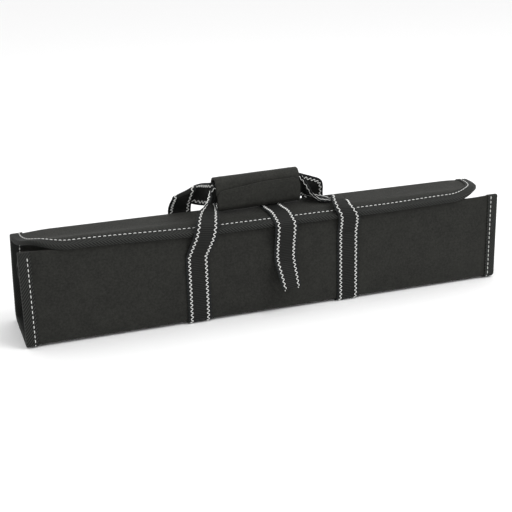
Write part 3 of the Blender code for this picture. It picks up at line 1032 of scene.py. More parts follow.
@dataclass
class PaddedCase:
    """The padded nylon sheet itself."""

    sheet: FoldedSheet
    column_step: float = 0.0075
    row_step: float = 0.0045

    def build(self, finish: bpy.types.Material) -> Piece:
        """Cuts, folds and dresses the sheet.

        Args:
            finish: The sheet's material.

        Returns:
            The piece.
        """
        sheet = self.sheet
        half = sheet.length / 2
        run = sheet.corner_run / half
        columns = evenly(-1.0, -1.0 + run, run / 6)
        columns += evenly(-1.0 + run, 1.0 - run, self.column_step / half)[1:]
        columns += evenly(1.0 - run, 1.0, run / 6)[1:]
        corner = sheet.end - sheet.flap_corner_radius
        rows = sheet.path.rows(0.0, corner, self.row_step)
        rows += [corner + sheet.flap_corner_radius * math.sin(math.pi / 2 * k / 26) for k in range(1, 27)]

        def place(share: float, v: float) -> Vector:
            """The middle of the sheet's wall at a place on the flat sheet.

            Args:
                share: Place along the case, from -1 to 1.
                v: Length along the section.

            Returns:
                The place.
            """
            u = share * sheet.half_width(v, share)
            lift = sheet.front_top(u) * eased(1.0 - v / 0.03)
            return sheet.point(u, v - lift, PANEL / 2)

        made = folded_cloth(
            "padded_nylon_case",
            columns,
            rows,
            place,
            lambda share, v: (share * sheet.half_width(v, share), v),
            PANEL - 0.0001,
            0.0009,
        )
        return Piece(made, finish).stands_for("outer_panel", Slot.NYLON)


@dataclass
class EdgeTape:
    """The twill tape folded over the sheet's ends and flap edge, with its running stitch."""

    sheet: FoldedSheet
    width: float = 0.012
    nose_radius: float = 0.0011
    row_step: float = 0.00068
    rib_pitch: float = 0.0021
    rib_slant: float = math.radians(38)
    rib_height: float = 0.00015
    slant_run: float = 0.045
    stitch_pitch: float = 0.0050
    stitch_length: float = 0.0027
    stitch_inset: float = 0.0087
    pucker: float = 0.00014
    outline: list[tuple[float, float, float, float]] = field(init=False)

    def __post_init__(self) -> None:
        """Walks round the sheet's taped edge in even steps."""
        self.outline = self._even(self._edge())

    def _edge(self) -> list[tuple[float, float, float, float]]:
        """Place and outward direction at each step from the left end's foot to the right end's.

        Returns:
            Rows of u, v and the outward direction in both.
        """
        sheet, radius = self.sheet, self.sheet.flap_corner_radius
        corner = sheet.end - radius
        halves = []
        for side in (-1, 1):
            rows = sheet.path.rows(-sheet.corner_rise, corner, 0.002)
            half = [(side * sheet.end_reach(v, side), v, float(side), 0.0) for v in rows[:-1]]
            centre = side * (sheet.end_reach(sheet.end, side) - radius)
            for angle in evenly(0.0, math.pi / 2, 0.03):
                out_u, out_v = side * math.cos(angle), math.sin(angle)
                half.append((centre + radius * out_u, corner + radius * out_v, out_u, out_v))
            halves.append(half)
        return halves[0] + halves[1][::-1]

    def _even(
        self, edge: Sequence[tuple[float, float, float, float]]
    ) -> list[tuple[float, float, float, float]]:
        """The same walk in steps of one length.

        Args:
            edge: The walk in uneven steps.

        Returns:
            The walk in even steps.
        """
        reach = [0.0]
        for a, b in zip(edge, edge[1:]):
            reach.append(reach[-1] + math.hypot(b[0] - a[0], b[1] - a[1]))
        count = round(reach[-1] / self.row_step)
        self.row_step = reach[-1] / count
        walk = []
        for index in range(count + 1):
            s = min(index * self.row_step, reach[-1])
            low = min(max(bisect_left(reach, s), 1), len(reach) - 1)
            share = (s - reach[low - 1]) / max(reach[low] - reach[low - 1], TINY)
            walk.append(tuple(p + (q - p) * share for p, q in zip(edge[low - 1], edge[low])))
        return walk

    def _section(self) -> list[tuple[float, float, float, float, float, float]]:
        """The tape's closed section: its middle layer, normal, place across and half thickness.

        Returns:
            Rows of out, depth, normal out, normal depth, across, half thickness.
        """
        inset = GAP + TAPE - self.width
        nose, radius = GAP + TAPE / 2, self.nose_radius
        low, high = -GAP - TAPE / 2, PANEL + GAP + TAPE / 2
        middle: list[tuple[float, float, float, float]] = []
        for out in evenly(inset, nose - radius, 0.0018):
            middle.append((out, low, 0.0, -1.0))
        for angle in evenly(-math.pi / 2, 0.0, 0.4)[1:]:
            cos, sin = math.cos(angle), math.sin(angle)
            middle.append((nose - radius + radius * cos, low + radius + radius * sin, cos, sin))
        for angle in evenly(0.0, math.pi / 2, 0.4):
            cos, sin = math.cos(angle), math.sin(angle)
            middle.append((nose - radius + radius * cos, high - radius + radius * sin, cos, sin))
        for out in evenly(nose - radius, inset, 0.0018)[1:]:
            middle.append((out, high, 0.0, 1.0))
        across = [0.0]
        for a, b in zip(middle, middle[1:]):
            across.append(across[-1] + math.hypot(b[0] - a[0], b[1] - a[1]))
        half = TAPE / 2
        mid = across[-1] / 2
        outer = [(*m, w - mid, half) for m, w in zip(middle, across)]
        inner = [(*m, w - mid, -half) for m, w in zip(middle, across)]
        return outer + inner[::-1]

    def _pull(self, s: float, out: float, depth: float) -> float:
        """How far the stitches draw the tape towards the sheet at a place along it.

        Args:
            s: Length along the tape.
            out: Distance out from the edge.
            depth: Depth from the sheet's outer face.

        Returns:
            The shift in depth.
        """
        near = math.exp(-(((out + self.stitch_inset - GAP - TAPE) / 0.0016) ** 2))
        beat = 0.5 + 0.5 * math.cos(2 * math.pi * s / self.stitch_pitch)
        return math.copysign(self.pucker * near * beat, 1.0 if depth < PANEL / 2 else -1.0)

    def build(self, finish: bpy.types.Material) -> Piece:
        """Folds and dresses the tape.

        Args:
            finish: The tape's material.

        Returns:
            The piece.
        """
        section = self._section()
        total = self.row_step * (len(self.outline) - 1)
        along_pitch = self.rib_pitch / math.sin(self.rib_slant)
        rings, flat = [], []
        for index in range(len(self.outline)):
            start = index * self.row_step
            lean = eased(start / self.slant_run) * eased((total - start) / self.slant_run)
            lean /= math.tan(self.rib_slant)
            rib = -self.rib_height * math.cos(2 * math.pi * start / along_pitch)
            ring, row = [], []
            for out, depth, normal_out, normal_depth, across, half in section:
                s = min(max(start + lean * across, 0.0), total)
                u, v, out_u, out_v = self._edge_at(s)
                off = half + (rib if half > 0 else 0.0)
                reach = out + normal_out * off
                drawn = depth + normal_depth * off + self._pull(s, out, depth)
                ring.append(self.sheet.point(u + reach * out_u, v + reach * out_v, drawn))
                row.append((across, s))
            rings.append(ring)
            flat.append(row)
        made = lofted("twill_edge_tape", rings, flat)
        return Piece(made, finish).stands_for("edge_binding", Slot.TAPE)

    def stitches(self, finish: bpy.types.Material) -> Piece:
        """Sews the white running stitch through both faces of the tape.

        Args:
            finish: The thread's material.

        Returns:
            The piece.
        """
        runs = []
        total = self.row_step * (len(self.outline) - 1)
        faces = ((-GAP - TAPE, -1.0), (PANEL + GAP + TAPE, 1.0))
        lifts = ((-0.5, -0.00045), (-0.36, 0.00012), (0.0, 0.00024), (0.36, 0.00012), (0.5, -0.00045))
        for number in range(1, int(total / self.stitch_pitch)):
            for depth, outer in faces:
                middle = (number + 0.5) * self.stitch_pitch
                reach = self.stitch_length
                places = [(middle + share * reach, depth + outer * lift) for share, lift in lifts]
                runs.append([self._on_tape(*place) for place in places])
        made = sewn_threads("tape_running_stitches", runs, 0.00036)
        return Piece(made, finish)

    def _edge_at(self, s: float) -> list[float]:
        """The sheet's edge at a length along the tape: its place and its outward direction.

        Args:
            s: Length along the tape.

        Returns:
            u, v and the outward direction in both.
        """
        index = min(int(s / self.row_step), len(self.outline) - 2)
        share = s / self.row_step - index
        return [p + (q - p) * share for p, q in zip(self.outline[index], self.outline[index + 1])]

    def _on_tape(self, s: float, depth: float) -> Vector:
        """A point of the stitch line at a length along the tape.

        Args:
            s: Length along the tape.
            depth: Depth from the sheet's outer face.

        Returns:
            The point.
        """
        u, v, out_u, out_v = self._edge_at(s)
        out = GAP + TAPE - self.stitch_inset
        return self.sheet.point(u + out * out_u, v + out * out_v, depth)


@dataclass
class InnerLeaf:
    """The thin nylon leaf that leaves the front wall's top, loops back and returns to it."""

    sheet: FoldedSheet
    thickness: float = 0.0012
    reach: float = 0.0375
    top_drop: float = 0.0010
    loop_height: float = 0.0240
    hem: float = 0.0030
    end_inset: float = 0.0010
    ruffle: float = 0.0011

    def build(self, finish: bpy.types.Material) -> Piece:
        """Cuts, folds and dresses the leaf.

        Args:
            finish: The leaf's material.

        Returns:
            The piece.
        """
        seat = PANEL + GAP + TAPE + GAP + self.thickness / 2
        top = self.sheet.front_height - self.top_drop
        low = top - self.loop_height
        path = BentPath(
            (
                Corner(seat, top, 0.0),
                Corner(seat, top - self.hem, self.hem / 2),
                Corner(seat + self.reach * 0.56, top - self.loop_height * 0.46, self.reach),
                Corner(seat + self.reach * 1.08, top - self.loop_height * 1.02, self.reach * 0.11),
                Corner(seat + self.reach * 0.50, top - self.loop_height * 1.20, self.reach * 0.4),
                Corner(seat, low, self.hem / 2),
                Corner(seat, low - 2 * self.hem, 0.0),
            )
        )
        half = self.sheet.length / 2 - self.end_inset

        def place(u: float, s: float) -> Vector:
            """The middle of the leaf's wall at a place on the flat leaf.

            Args:
                u: Length along the case.
                s: Length along the leaf's own path.

            Returns:
                The place, with the leaf's waves.
            """
            at = path.at(s)
            free = eased((at.y - seat - 0.004) / 0.02)
            wave = self.ruffle * free * (math.sin(u * 61.0 + 0.5) + 0.5 * math.sin(u * 143.0 + at.z * 90.0))
            return Vector((u, FRONT_FACE_Y + at.y + at.ny * wave, SHELL_Z + at.z + at.nz * wave))

        made = folded_cloth(
            "inner_nylon_leaf",
            evenly(-half, half, 0.0085),
            path.rows(0.0, path.end, 0.003),
            place,
            lambda u, s: (u, s),
            self.thickness,
            0.0003,
        )
        return Piece(made, finish).stands_for("inner_flap", Slot.LINING)


# --------------------------------------------------------------------------- webbing


class Ribbon:
    """A run of webbing as close rulings, with places along, across and above it."""

    rib_pitch = 0.0019
    rib_height = 0.00008

    def __init__(self, rulings: Sequence[Ruling]) -> None:
        """Measures the run.

        Args:
            rulings: The rulings in order, close enough together to be joined by straight lines.
        """
        self.rulings = list(rulings)
        self.reach = [0.0]
        for a, b in zip(self.rulings, self.rulings[1:]):
            self.reach.append(self.reach[-1] + (b.centre - a.centre).length)
        self.length = self.reach[-1]
        last = len(self.rulings) - 1
        self.forward = []
        for index in range(last + 1):
            ahead = self.rulings[min(index + 1, last)].centre
            self.forward.append((ahead - self.rulings[max(index - 1, 0)].centre).normalized())

    def place(self, s: float, offset: float, lift: float) -> Vector:
        """A point on or above the webbing.

        Args:
            s: Length along the webbing.
            offset: Distance across it from its middle.
            lift: Height above its middle layer.

        Returns:
            The point.
        """
        index = min(max(bisect_left(self.reach, s), 1), len(self.reach) - 1)
        a, b = self.rulings[index - 1], self.rulings[index]
        share = (s - self.reach[index - 1]) / max(self.reach[index] - self.reach[index - 1], TINY)
        centre = a.centre.lerp(b.centre, share)
        across = a.across.lerp(b.across, share).normalized()
        width = a.width + (b.width - a.width) * share
        curl = a.curl + (b.curl - a.curl) * share
        bow = across.cross(self.forward[index - 1].lerp(self.forward[index], share)).normalized()
        wide = offset * width / WEBBING_WIDTH
        if abs(curl) < 1e-3:
            return centre + across * wide + bow * lift
        radius = width / curl
        angle = wide / radius
        flatness = 0.6
        rise = radius * (math.cos(angle) - (1 + math.cos(curl / 2)) / 2) * flatness
        normal = (bow * math.cos(angle) - across * flatness * math.sin(angle)).normalized()
        return centre + across * radius * math.sin(angle) - bow * rise + normal * lift

    def body(self, name: str, step: float) -> bpy.types.Object:
        """The webbing's own mesh, with rounded selvedges.

        Args:
            name: The piece's name.
            step: Space between its rows.

        Returns:
            The finished object.
        """
        half, thick = WEBBING_WIDTH / 2, WEBBING / 2
        section = [(offset, thick) for offset in evenly(-half + thick, half - thick, 0.0021)]
        for angle in evenly(math.pi / 2, -math.pi / 2, 0.7)[1:-1]:
            section.append((half - thick + thick * math.cos(angle), thick * math.sin(angle)))
        section += [(-offset, -lift) for offset, lift in section]
        rings, flat = [], []
        for s in evenly(0.0, self.length, step):
            rib = 1.0 - self.rib_height / thick * math.cos(2 * math.pi * s / self.rib_pitch)
            ring = [self.place(s, offset, lift * rib) for offset, lift in section]
            for point in ring:
                point.z = max(point.z, 0.0)
            rings.append(ring)
            flat.append([(offset, s) for offset, _ in section])
        made = lofted(name, rings, flat)
        return made


@dataclass
class WavyStitch:
    """The bold white thread that waves along both edges of each webbing, on both of its faces."""

    offset: float = 0.0087
    sway: float = 0.00118
    period: float = 0.0044
    radius: float = 0.00038

    def sew(self, name: str, ribbon: Ribbon, finish: bpy.types.Material, ends: float = 0.0) -> Piece:
        """Sews both lines on both faces.

        Args:
            name: The piece's name.
            ribbon: The webbing.
            finish: The thread's material.
            ends: How far the threads hang out past the webbing's last ruling.

        Returns:
            The finished piece.
        """
        runs = []
        for side in (-1, 1):
            for face in (-1, 1):
                run = []
                for s in evenly(0.0008, ribbon.length - 0.0008, self.period / 8):
                    swing = self.sway * math.sin(2 * math.pi * s / self.period)
                    lift = face * (WEBBING / 2 + self.radius * 0.6)
                    place = ribbon.place(s, side * self.offset + swing, lift)
                    place.z = max(place.z, self.radius)
                    run.append(place)
                runs.append(run)
            if ends:
                run = []
                for share in (-0.4, 0.0, 0.5, 1.0):
                    along = ribbon.length + ends * share
                    offset = side * (self.offset + 0.0006 * share)
                    run.append(ribbon.place(along, offset, WEBBING / 2 - 0.0004))
                runs.append(run)
        return Piece(sewn_threads(name, runs, self.radius), finish)


@dataclass
class Grip:
    """The padded nylon wrap round both webbings, its outer lap ending high on the front."""

    sheet: FoldedSheet
    length: float = 0.094
    x: float = -0.007
    y: float = 0.0385
    yaw: float = math.radians(4.5)
    depth: float = 0.019
    height: float = 0.036
    wall: float = 0.0026
    lap_height: float = 0.0105
    lap_radius: float = 0.009
    rounding: float = 0.0068
    inner_rounding: float = 0.0058
    strap_spacing: float = 0.0019
    seam_inset: float = 0.0075

    def __post_init__(self) -> None:
        """Sets the grip on the closure strap, which lies on the flap."""
        self.flap_z = self.sheet.flap_top_at(self.y) + SHELL_Z
        self.z = self.flap_z + GAP + WEBBING + GAP + self.height / 2
        self.strap_offset = (WEBBING + self.strap_spacing) / 2

    def place(self, x: float, y: float, z: float) -> Vector:
        """World place of a point given along the grip's own axes."""
        cos, sin = math.cos(self.yaw), math.sin(self.yaw)
        return Vector((self.x + cos * x - sin * y, FRONT_FACE_Y + self.y + sin * x + cos * y, self.z + z))

    def path(self) -> BentPath:
        """The wrap's section, from its inner end on the front, once round and up to the lap's edge.

        Returns:
            The section.
        """
        outer = self.depth / 2 - self.wall / 2
        inner = outer - self.wall - GAP
        crown = self.height / 2 - self.wall / 2
        return BentPath(
            (
                Corner(-inner, 0.0, 0.0),
                Corner(-inner, crown, self.inner_rounding),
                Corner(outer, crown, self.rounding),
                Corner(outer, -crown, self.rounding),
                Corner(-outer, -crown, self.rounding),
                Corner(-outer, self.lap_height, 0.0),
            )
        )

    def _half(self, s: float, end: float) -> float:
        """Half of the wrap's length in X at a length along its section; the lap's corners are round.

        Args:
            s: Length along the section.
            end: Its whole length.

        Returns:
            The half length.
        """
        into_corner = max(0.0, s - (end - self.lap_radius))
        chord = math.sqrt(max(0.0, self.lap_radius**2 - into_corner**2))
        return self.length / 2 - self.lap_radius + chord

    def _drawn(self, x: float, s: float, end: float) -> float:
        """Length along the section once the lap's edge sags towards the grip's left end."""
        sag = 0.0012 + 0.0042 * eased((0.012 - x) / 0.060)
        return s - sag * eased((s - (end - 0.022)) / 0.022)

    def _relief(self, x: float, s: float, end: float) -> float:
        """The padding's height: pressed in at the seams and softly crumpled between them.

        Args:
            x: Place along the grip.
            s: Length along the section.
            end: Its whole length.

        Returns:
            The height, outwards positive.
        """
        seam = math.exp(-(((abs(x) - (self.length / 2 - self.seam_inset)) / 0.0011) ** 2))
        lap = math.exp(-(((end - s - 0.0035) / 0.0012) ** 2))
        soft = math.sin(x * 93.0 + s * 40.0) * math.sin(s * 120.0 + 0.6)
        soft += 0.5 * math.sin(x * 190.0 - s * 75.0)
        return 0.00007 * soft - 0.00017 * seam - 0.00012 * lap

    def build(self, finish: bpy.types.Material) -> Piece:
        """Cuts, winds and dresses the wrap.

        Args:
            finish: The wrap's material.

        Returns:
            The piece.
        """
        path = self.path()
        end = path.end
        rows = path.rows(0.0, end - self.lap_radius, 0.0026)
        rows += [end - self.lap_radius * (1 - math.sin(math.pi / 2 * k / 12)) for k in range(1, 13)]
        half = self.length / 2

        def place(share: float, s: float) -> Vector:
            """The middle of the wrap's wall at a place on the flat wrap.

            Args:
                share: Place along the grip, from -1 to 1.
                s: Length along the wound path.

            Returns:
                The place, with the seams' and the lap's relief.
            """
            x = share * self._half(s, end)
            at = path.at(self._drawn(x, s, end))
            rise = self._relief(x, s, end)
            return self.place(x, at.y + at.ny * rise, at.z + at.nz * rise)

        made = folded_cloth(
            "grip_wrap",
            evenly(-1.0, 1.0, 0.0016 / half),
            rows,
            place,
            lambda share, s: (s, share * self._half(s, end)),
            self.wall - 0.0001,
            0.0008,
        )
        return Piece(made, finish).stands_for("handle_wrap", Slot.NYLON)

    def seams(self, finish: bpy.types.Material) -> Piece:
        """Sews the black seams near both ends and along the lap's edge.

        Args:
            finish: The thread's material.

        Returns:
            The piece.
        """
        path = self.path()
        end, lift = path.end, self.wall / 2
        runs = []
        for side in (-1, 1):
            x = side * (self.length / 2 - self.seam_inset)
            for middle in evenly(0.036, end - 0.007, 0.0034):
                runs.append([self._stitch(path, x, middle + d, lift) for d in (-0.0012, 0.0, 0.0012)])
        for middle in evenly(-self.length / 2 + 0.012, self.length / 2 - 0.012, 0.0034):
            s = end - 0.0035
            runs.append([self._stitch(path, middle + d, s, lift) for d in (-0.0012, 0.0, 0.0012)])
        return Piece(sewn_threads("grip_seam_stitches", runs, 0.0002), finish)

    def _stitch(self, path: BentPath, x: float, s: float, lift: float) -> Vector:
        """A point of a seam on the wrap's outer face.

        Args:
            path: The section.
            x: Place along the grip.
            s: Length along the section.
            lift: Height above the middle layer.

        Returns:
            The point.
        """
        at = path.at(self._drawn(x, s, path.end))
        rise = lift + self._relief(x, s, path.end)
        return self.place(x, at.y + at.ny * rise, at.z + at.nz * rise)


@dataclass
class WebbingRuns:
    """The routes of the three webbings."""

    sheet: FoldedSheet
    grip: Grip
    left_leg_x: float = -0.085
    right_leg_x: float = 0.0805
    left_sewn_height: float = 0.070
    right_sewn_height: float = 0.076
    back_right_sewn_height: float = 0.055
    back_right_lean: float = -0.0145
    back_free_drop: float = 0.0085
    closure_x: float = 0.0085
    closure_hidden_y: float = 0.045
    tape_width: float = 0.012
    ruling_step: float = 0.006
    fine_step: float = 0.0022
    turn_step: float = math.radians(7)

    def wall_run(self, x: float, start: float, end: float, lean: float = 0.0) -> list[Ruling]:
        """Rulings of webbing laid on the case between two lengths of its section.

        Args:
            x: Place along the case.
            start: First length of the section.
            end: Last length.
            lean: Shift along the case at the last length.

        Returns:
            The rulings.
        """
        run = []
        for s in self.sheet.path.rows(start, end, self.fine_step):
            leaned = lean * (s - start) / (end - start)
            centre = self.sheet.point(x + leaned, s, -(GAP + WEBBING / 2))
            run.append(Ruling(centre, Vector((1.0, 0.0, 0.0)), WEBBING_WIDTH, 0.0))
        return run

    def free_run(
        self, rows: Sequence[FreeRow], leg_x: float, grip_x: float, edge_y: float, side: Side
    ) -> list[Ruling]:
        """Rulings of a free stretch.

        Args:
            rows: The stretch's places, in shares.
            leg_x: Where its leg stands along the case.
            grip_x: The grip's end that it enters, along the grip.
            edge_y: The wall's edge that it leaves, back from the front wall.
            side: Which of the two webbings it is.

        Returns:
            The rulings, from the leg to the grip.
        """
        grip = self.grip
        goal = grip.place(grip_x, side.value * grip.strap_offset, 0.0)
        start_y = FRONT_FACE_Y + edge_y
        run = []
        for row in rows:
            centre = Vector(
                (
                    leg_x + (goal.x - leg_x) * row.across,
                    start_y + (goal.y - start_y) * row.back,
                    grip.flap_z + (goal.z - grip.flap_z) * row.up,
                )
            )
            turn, tilt = math.radians(row.turn), math.radians(row.tilt)
            level = math.cos(tilt)
            across = Vector((level * math.cos(turn), level * math.sin(turn), math.sin(tilt)))
            run.append(Ruling(centre, across, WEBBING_WIDTH * row.width, math.radians(row.curl)))
        return run

    def grip_run(self, side: Side, up: float) -> list[Ruling]:
        """Rulings of webbing standing on edge inside the grip.

        Args:
            side: Which of the two webbings.
            up: 1 or -1, the way the width points.

        Returns:
            The rulings, left to right.
        """
        run = []
        for share in (-0.42, -0.20, 0.0, 0.20, 0.42):
            centre = self.grip.place(self.grip.length * share, side.value * self.grip.strap_offset, 0.0)
            run.append(Ruling(centre, Vector((0.0, 0.0, up)), WEBBING_WIDTH, 0.0))
        return run

    @staticmethod
    def negated(run: Sequence[Ruling]) -> list[Ruling]:
        """The same run with its width pointing the other way."""
        return [ruling._replace(across=-ruling.across, curl=-ruling.curl) for ruling in run]

    def smoothed(self, run: Sequence[Ruling]) -> list[Ruling]:
        """Close rulings along a smooth curve through the given ones.

        Args:
            run: The given rulings.

        Returns:
            The close rulings.
        """
        dense: list[Ruling] = []
        last = len(run) - 1
        for index in range(last):
            before, a = run[max(index - 1, 0)], run[index]
            b, after = run[index + 1], run[min(index + 2, last)]
            chord = b.centre - a.centre
            spread = max(chord.length, TINY)
            lead_in = max((a.centre - before.centre).length, TINY)
            lead_out = max((after.centre - b.centre).length, TINY)
            slope_a = (a.centre - before.centre) / lead_in + chord / spread
            slope_b = chord / spread + (after.centre - b.centre) / lead_out
            if index == 0:
                slope_a = chord / spread * 2
            if index == last - 1:
                slope_b = chord / spread * 2
            turned = a.across.angle(b.across)
            rolled = abs(b.curl - a.curl)
            steps = max(1, round(spread / self.fine_step), math.ceil(turned / self.turn_step))
            steps = max(steps, math.ceil(rolled / math.radians(12)))
            for step in range(steps):
                t = step / steps
                centre = self.hermite(a.centre, b.centre, slope_a * spread / 2, slope_b * spread / 2, t)
                across = a.across.slerp(b.across, t) if turned > 1e-4 else a.across.copy()
                width = a.width + (b.width - a.width) * t
                curl = a.curl + (b.curl - a.curl) * eased(t)
                dense.append(Ruling(centre, across.normalized(), width, curl))
        dense.append(run[-1])
        return dense

    @staticmethod
    def hermite(a: Vector, b: Vector, slope_a: Vector, slope_b: Vector, t: float) -> Vector:
        """A point of the smooth curve between two points with given slopes.

        Args:
            a: First point.
            b: Second point.
            slope_a: Slope at the first.
            slope_b: Slope at the second.
            t: Share of the way.

        Returns:
            The point.
        """
        t2, t3 = t * t, t * t * t
        return (
            a * (2 * t3 - 3 * t2 + 1)
            + slope_a * (t3 - 2 * t2 + t)
            + b * (3 * t2 - 2 * t3)
            + slope_b * (t3 - t2)
        )

    def front(self) -> Ribbon:
        """The front loop, from the bottom's middle up, through the grip and down again.

        Returns:
            The webbing.
        """
        path, half_depth = self.sheet.path, self.sheet.bottom_depth / 2
        middle = path.where(lambda y, z: y >= half_depth - GAP / 2)
        left_top = path.where(lambda y, z: z <= self.left_sewn_height)
        right_top = path.where(lambda y, z: z <= self.right_sewn_height)
        end = self.grip.length / 2
        left = self.free_run(FRONT_LEFT_RUN, self.left_leg_x, -end, 0.0, Side.FRONT)
        right = self.free_run(FRONT_RIGHT_RUN, self.right_leg_x, end, 0.0, Side.FRONT)
        run = self.wall_run(self.left_leg_x, middle, left_top)
        run += self.smoothed(
            run[-1:]
            + left
            + self.grip_run(Side.FRONT, -1.0)
            + self.negated(right[::-1])
            + self.negated(self.wall_run(self.right_leg_x, right_top, right_top + self.ruling_step)[:1])
        )[1:]
        run += self.negated(self.wall_run(self.right_leg_x, right_top, middle)[1:])
        return Ribbon(run)

    def back(self) -> Ribbon:
        """The back loop, from the bottom's middle up the bulging wall, through the grip and down.

        Returns:
            The webbing.
        """
        path, behind = self.sheet.path, self.sheet.bottom_depth / 2
        middle = path.where(lambda y, z: y >= behind + GAP / 2)
        free_height = self.sheet.top_height - self.back_free_drop
        left_top = path.where(lambda y, z: y > behind and z >= free_height)
        right_top = path.where(lambda y, z: y > behind and z >= self.back_right_sewn_height)
        end = self.grip.length / 2
        edge_y = self.sheet.top_depth + GAP + WEBBING / 2
        left = self.free_run(BACK_LEFT_RUN, self.left_leg_x, -end, edge_y, Side.BACK)
        right = self.free_run(BACK_RIGHT_RUN, self.right_leg_x, end, edge_y, Side.BACK)
        run = self.wall_run(self.left_leg_x, middle, left_top)
        leaning = self.wall_run(self.right_leg_x, right_top, left_top, self.back_right_lean)[::-1]
        run += self.smoothed(run[-1:] + left + self.grip_run(Side.BACK, 1.0) + right[::-1] + leaning[:1])[1:]
        run += leaning[1:]
        run += self.wall_run(self.right_leg_x, right_top, middle)[1:]
        return Ribbon(run)

    def closure(self) -> Ribbon:
        """The closure strap, from under the grip over the taped edge and down the front.

        Returns:
            The webbing.
        """
        sheet, end = self.sheet, self.sheet.end
        hidden = sheet.path.where(lambda y, z: z > sheet.front_height and y <= self.closure_hidden_y)
        on_tape = GAP + TAPE + GAP + WEBBING / 2
        on_flap = GAP + WEBBING / 2
        edges = (
            (hidden, on_flap),
            ((hidden + end - self.tape_width) / 2, on_flap),
            (end - self.tape_width - WEBBING_WIDTH / 4, on_flap + TAPE / 2),
            (end - self.tape_width, on_tape),
            (end - self.tape_width / 2, on_tape),
            (end - GAP, on_tape),
            (end + TAPE, on_tape + GAP),
        )
        along = Vector((1.0, 0.0, 0.0))
        run = [Ruling(sheet.point(self.closure_x, s, -lift), along, WEBBING_WIDTH, 0.0) for s, lift in edges]
        for row in CLOSURE_TAIL:
            turn = math.radians(row.turn)
            centre = Vector(
                (
                    self.closure_x + WEBBING_WIDTH * row.across,
                    FRONT_FACE_Y - WEBBING_WIDTH * row.out,
                    SHELL_Z + sheet.front_height * row.up,
                )
            )
            across = Vector((math.cos(turn), math.sin(turn), 0.0))
            run.append(Ruling(centre, across, WEBBING_WIDTH * row.width, 0.0))
        return Ribbon(self.smoothed(run))


@dataclass
class Webbings:
    """The webbings' meshes, with their threads."""

    runs: WebbingRuns
    step: float = 0.000475
    stitch: WavyStitch = field(default_factory=WavyStitch)

    def build(
        self, finish: bpy.types.Material, thread: bpy.types.Material, black: bpy.types.Material
    ) -> list[Piece]:
        """Makes, dresses and sews the three webbings.

        Args:
            finish: The webbing's material.
            thread: The white thread's material.
            black: The black thread's material.

        Returns:
            The pieces.
        """
        made = []
        for name, ribbon, node, tails in (
            ("front_webbing_loop", self.runs.front(), "front_strap", 0.0),
            ("back_webbing_loop", self.runs.back(), "back_strap", 0.0),
            ("closure_webbing", self.runs.closure(), "closure_strap", 0.0014),
        ):
            body = ribbon.body(name, self.step)
            made.append(Piece(body, finish).stands_for(node, Slot.WEBBING))
            made.append(self.stitch.sew(name + "_stitches", ribbon, thread, tails))
        made.append(self._tacks(black))
        return made

    def _tacks(self, black: bpy.types.Material) -> Piece:
        """Sews the black rows that fix the webbings to the case and fold the closure strap's end.

        Args:
            black: The thread's material.

        Returns:
            The piece.
        """
        front, closure = self.runs.front(), self.runs.closure()
        path = self.runs.sheet.path
        middle = path.where(lambda y, z: y >= self.runs.sheet.bottom_depth / 2 - GAP / 2)
        left = middle - path.where(lambda y, z: z <= self.runs.left_sewn_height - 0.014)
        right = front.length - middle + path.where(lambda y, z: z <= self.runs.right_sewn_height + 0.002)
        runs: list[list[Vector]] = []
        tail = closure.length - 0.030
        for ribbon, s, face in ((front, left, 1.0), (front, right, 1.0), (closure, tail, -1.0)):
            for row in (0.0, 0.0012):
                runs += self._row(ribbon, s + row, face)
        return Piece(sewn_threads("black_cross_stitches", runs, 0.00024), black)

    @staticmethod
    def _row(ribbon: Ribbon, s: float, face: float) -> list[list[Vector]]:
        """One row of stitches across a webbing.

        Args:
            ribbon: The webbing.
            s: Length along it.
            face: 1 or -1, the face to sew on.

        Returns:
            Each stitch's points.
        """
        found = []
        for offset in evenly(-0.0072, 0.0072, 0.0024):
            points = ((-0.0010, 0.0), (0.0, 0.00018), (0.0010, 0.0))
            found.append([ribbon.place(s, offset + d, face * (WEBBING / 2 + lift)) for d, lift in points])
        return found


# --------------------------------------------------------------------------- the studio


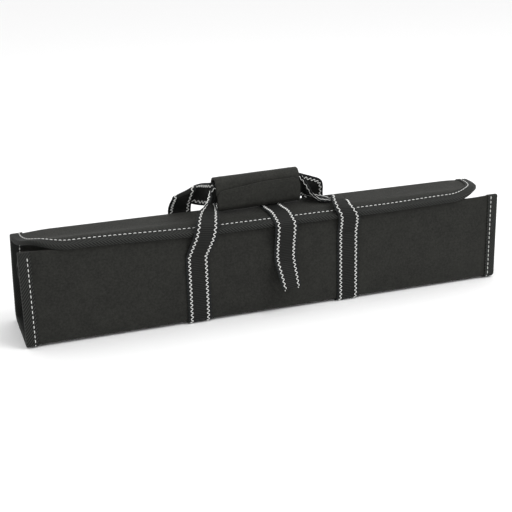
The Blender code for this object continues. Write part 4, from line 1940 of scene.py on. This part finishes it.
@dataclass
class Studio:
    """The pale floor, the soft white light and the photograph's camera."""

    camera_place: tuple[float, float, float] = (-0.3490, -0.97860, 0.39930)
    camera_turn: tuple[float, float, float] = (71.42366, 1.46928, -19.58373)
    lens: float = 72.1125
    sensor: float = 36.0

    def build(self) -> None:
        """Sets up everything round the object."""
        self._camera()
        self._floor()
        self._lights()
        bpy.context.scene.view_settings.view_transform = "Standard"
        bpy.context.scene.view_settings.look = "None"

    def _camera(self) -> None:
        """Puts the camera at the photograph's place."""
        data = bpy.data.cameras.new("photo_camera")
        data.lens, data.sensor_width = self.lens, self.sensor
        data.clip_start, data.clip_end = 0.02, 60.0
        camera = bpy.data.objects.new("photo_camera", data)
        camera.location = self.camera_place
        camera.rotation_euler = [math.radians(angle) for angle in self.camera_turn]
        bpy.context.scene.collection.objects.link(camera)
        bpy.context.scene.camera = camera

    @staticmethod
    def _floor() -> None:
        """Lays the floor."""
        rest_selection()
        bpy.ops.mesh.primitive_plane_add(size=16.0, location=(0.0, 0.0, -0.0002))
        floor = bpy.context.active_object
        floor.name = floor.data.name = "studio_floor"
        board = NodeBoard("pale_floor")
        board.shader.inputs["Base Color"].default_value = (0.93, 0.93, 0.93, 1.0)
        board.shader.inputs["Roughness"].default_value = 0.9
        floor.data.materials.append(board.material)
        rest_selection()

    @staticmethod
    def _lights() -> None:
        """Hangs the key and fill lights in an even white room."""
        world = bpy.data.worlds.new("white_room")
        world.use_nodes = True
        world.node_tree.nodes["Background"].inputs["Color"].default_value = (1.0, 1.0, 1.0, 1.0)
        world.node_tree.nodes["Background"].inputs["Strength"].default_value = 1.0
        bpy.context.scene.world = world
        for name, place, size, power in (
            ("key_light", (0.9, -1.1, 1.7), 0.9, 20.0),
            ("top_light", (-0.2, 0.5, 1.9), 1.4, 4.0),
        ):
            data = bpy.data.lights.new(name, "AREA")
            data.size, data.energy = size, power
            lamp = bpy.data.objects.new(name, data)
            lamp.location = place
            lamp.rotation_euler = (-Vector(place)).to_track_quat("-Z", "Y").to_euler()
            bpy.context.scene.collection.objects.link(lamp)


def main() -> None:
    """Builds the studio and the roll, piece by piece."""
    Studio().build()
    nylon = WovenNylon(
        "black_padded_nylon_weave", (0.0085, 0.0086, 0.0076), (0.0255, 0.0258, 0.0228)
    ).material()
    # painted light: the grip gets the case's own nylon made lighter, standing for the stronger light on its
    # top
    padded = WovenNylon("grip_nylon_painted_light", (0.0105, 0.0106, 0.0095), (0.0305, 0.0308, 0.0272)).material()
    lining = WovenNylon(
        "thin_black_nylon_weave", (0.007, 0.0075, 0.007), (0.016, 0.017, 0.0155), 0.0005, 0.00004, 0.55, 0.03
    ).material()
    twill = TwillTape().material()
    webbing = RibbedWebbing().material()
    white = SewingThread("white_thread", (0.62, 0.63, 0.61), (0.90, 0.90, 0.88)).material()
    black = SewingThread("black_thread", (0.010, 0.010, 0.010), (0.022, 0.022, 0.021), 0.6).material()

    sheet = FoldedSheet()
    PaddedCase(sheet).build(nylon)
    tape = EdgeTape(sheet)
    tape.build(twill)
    tape.stitches(white)
    InnerLeaf(sheet).build(lining)
    grip = Grip(sheet)
    grip.build(padded)
    grip.seams(black)
    Webbings(WebbingRuns(sheet, grip)).build(webbing, white, black)


if __name__ == "__main__":
    main()
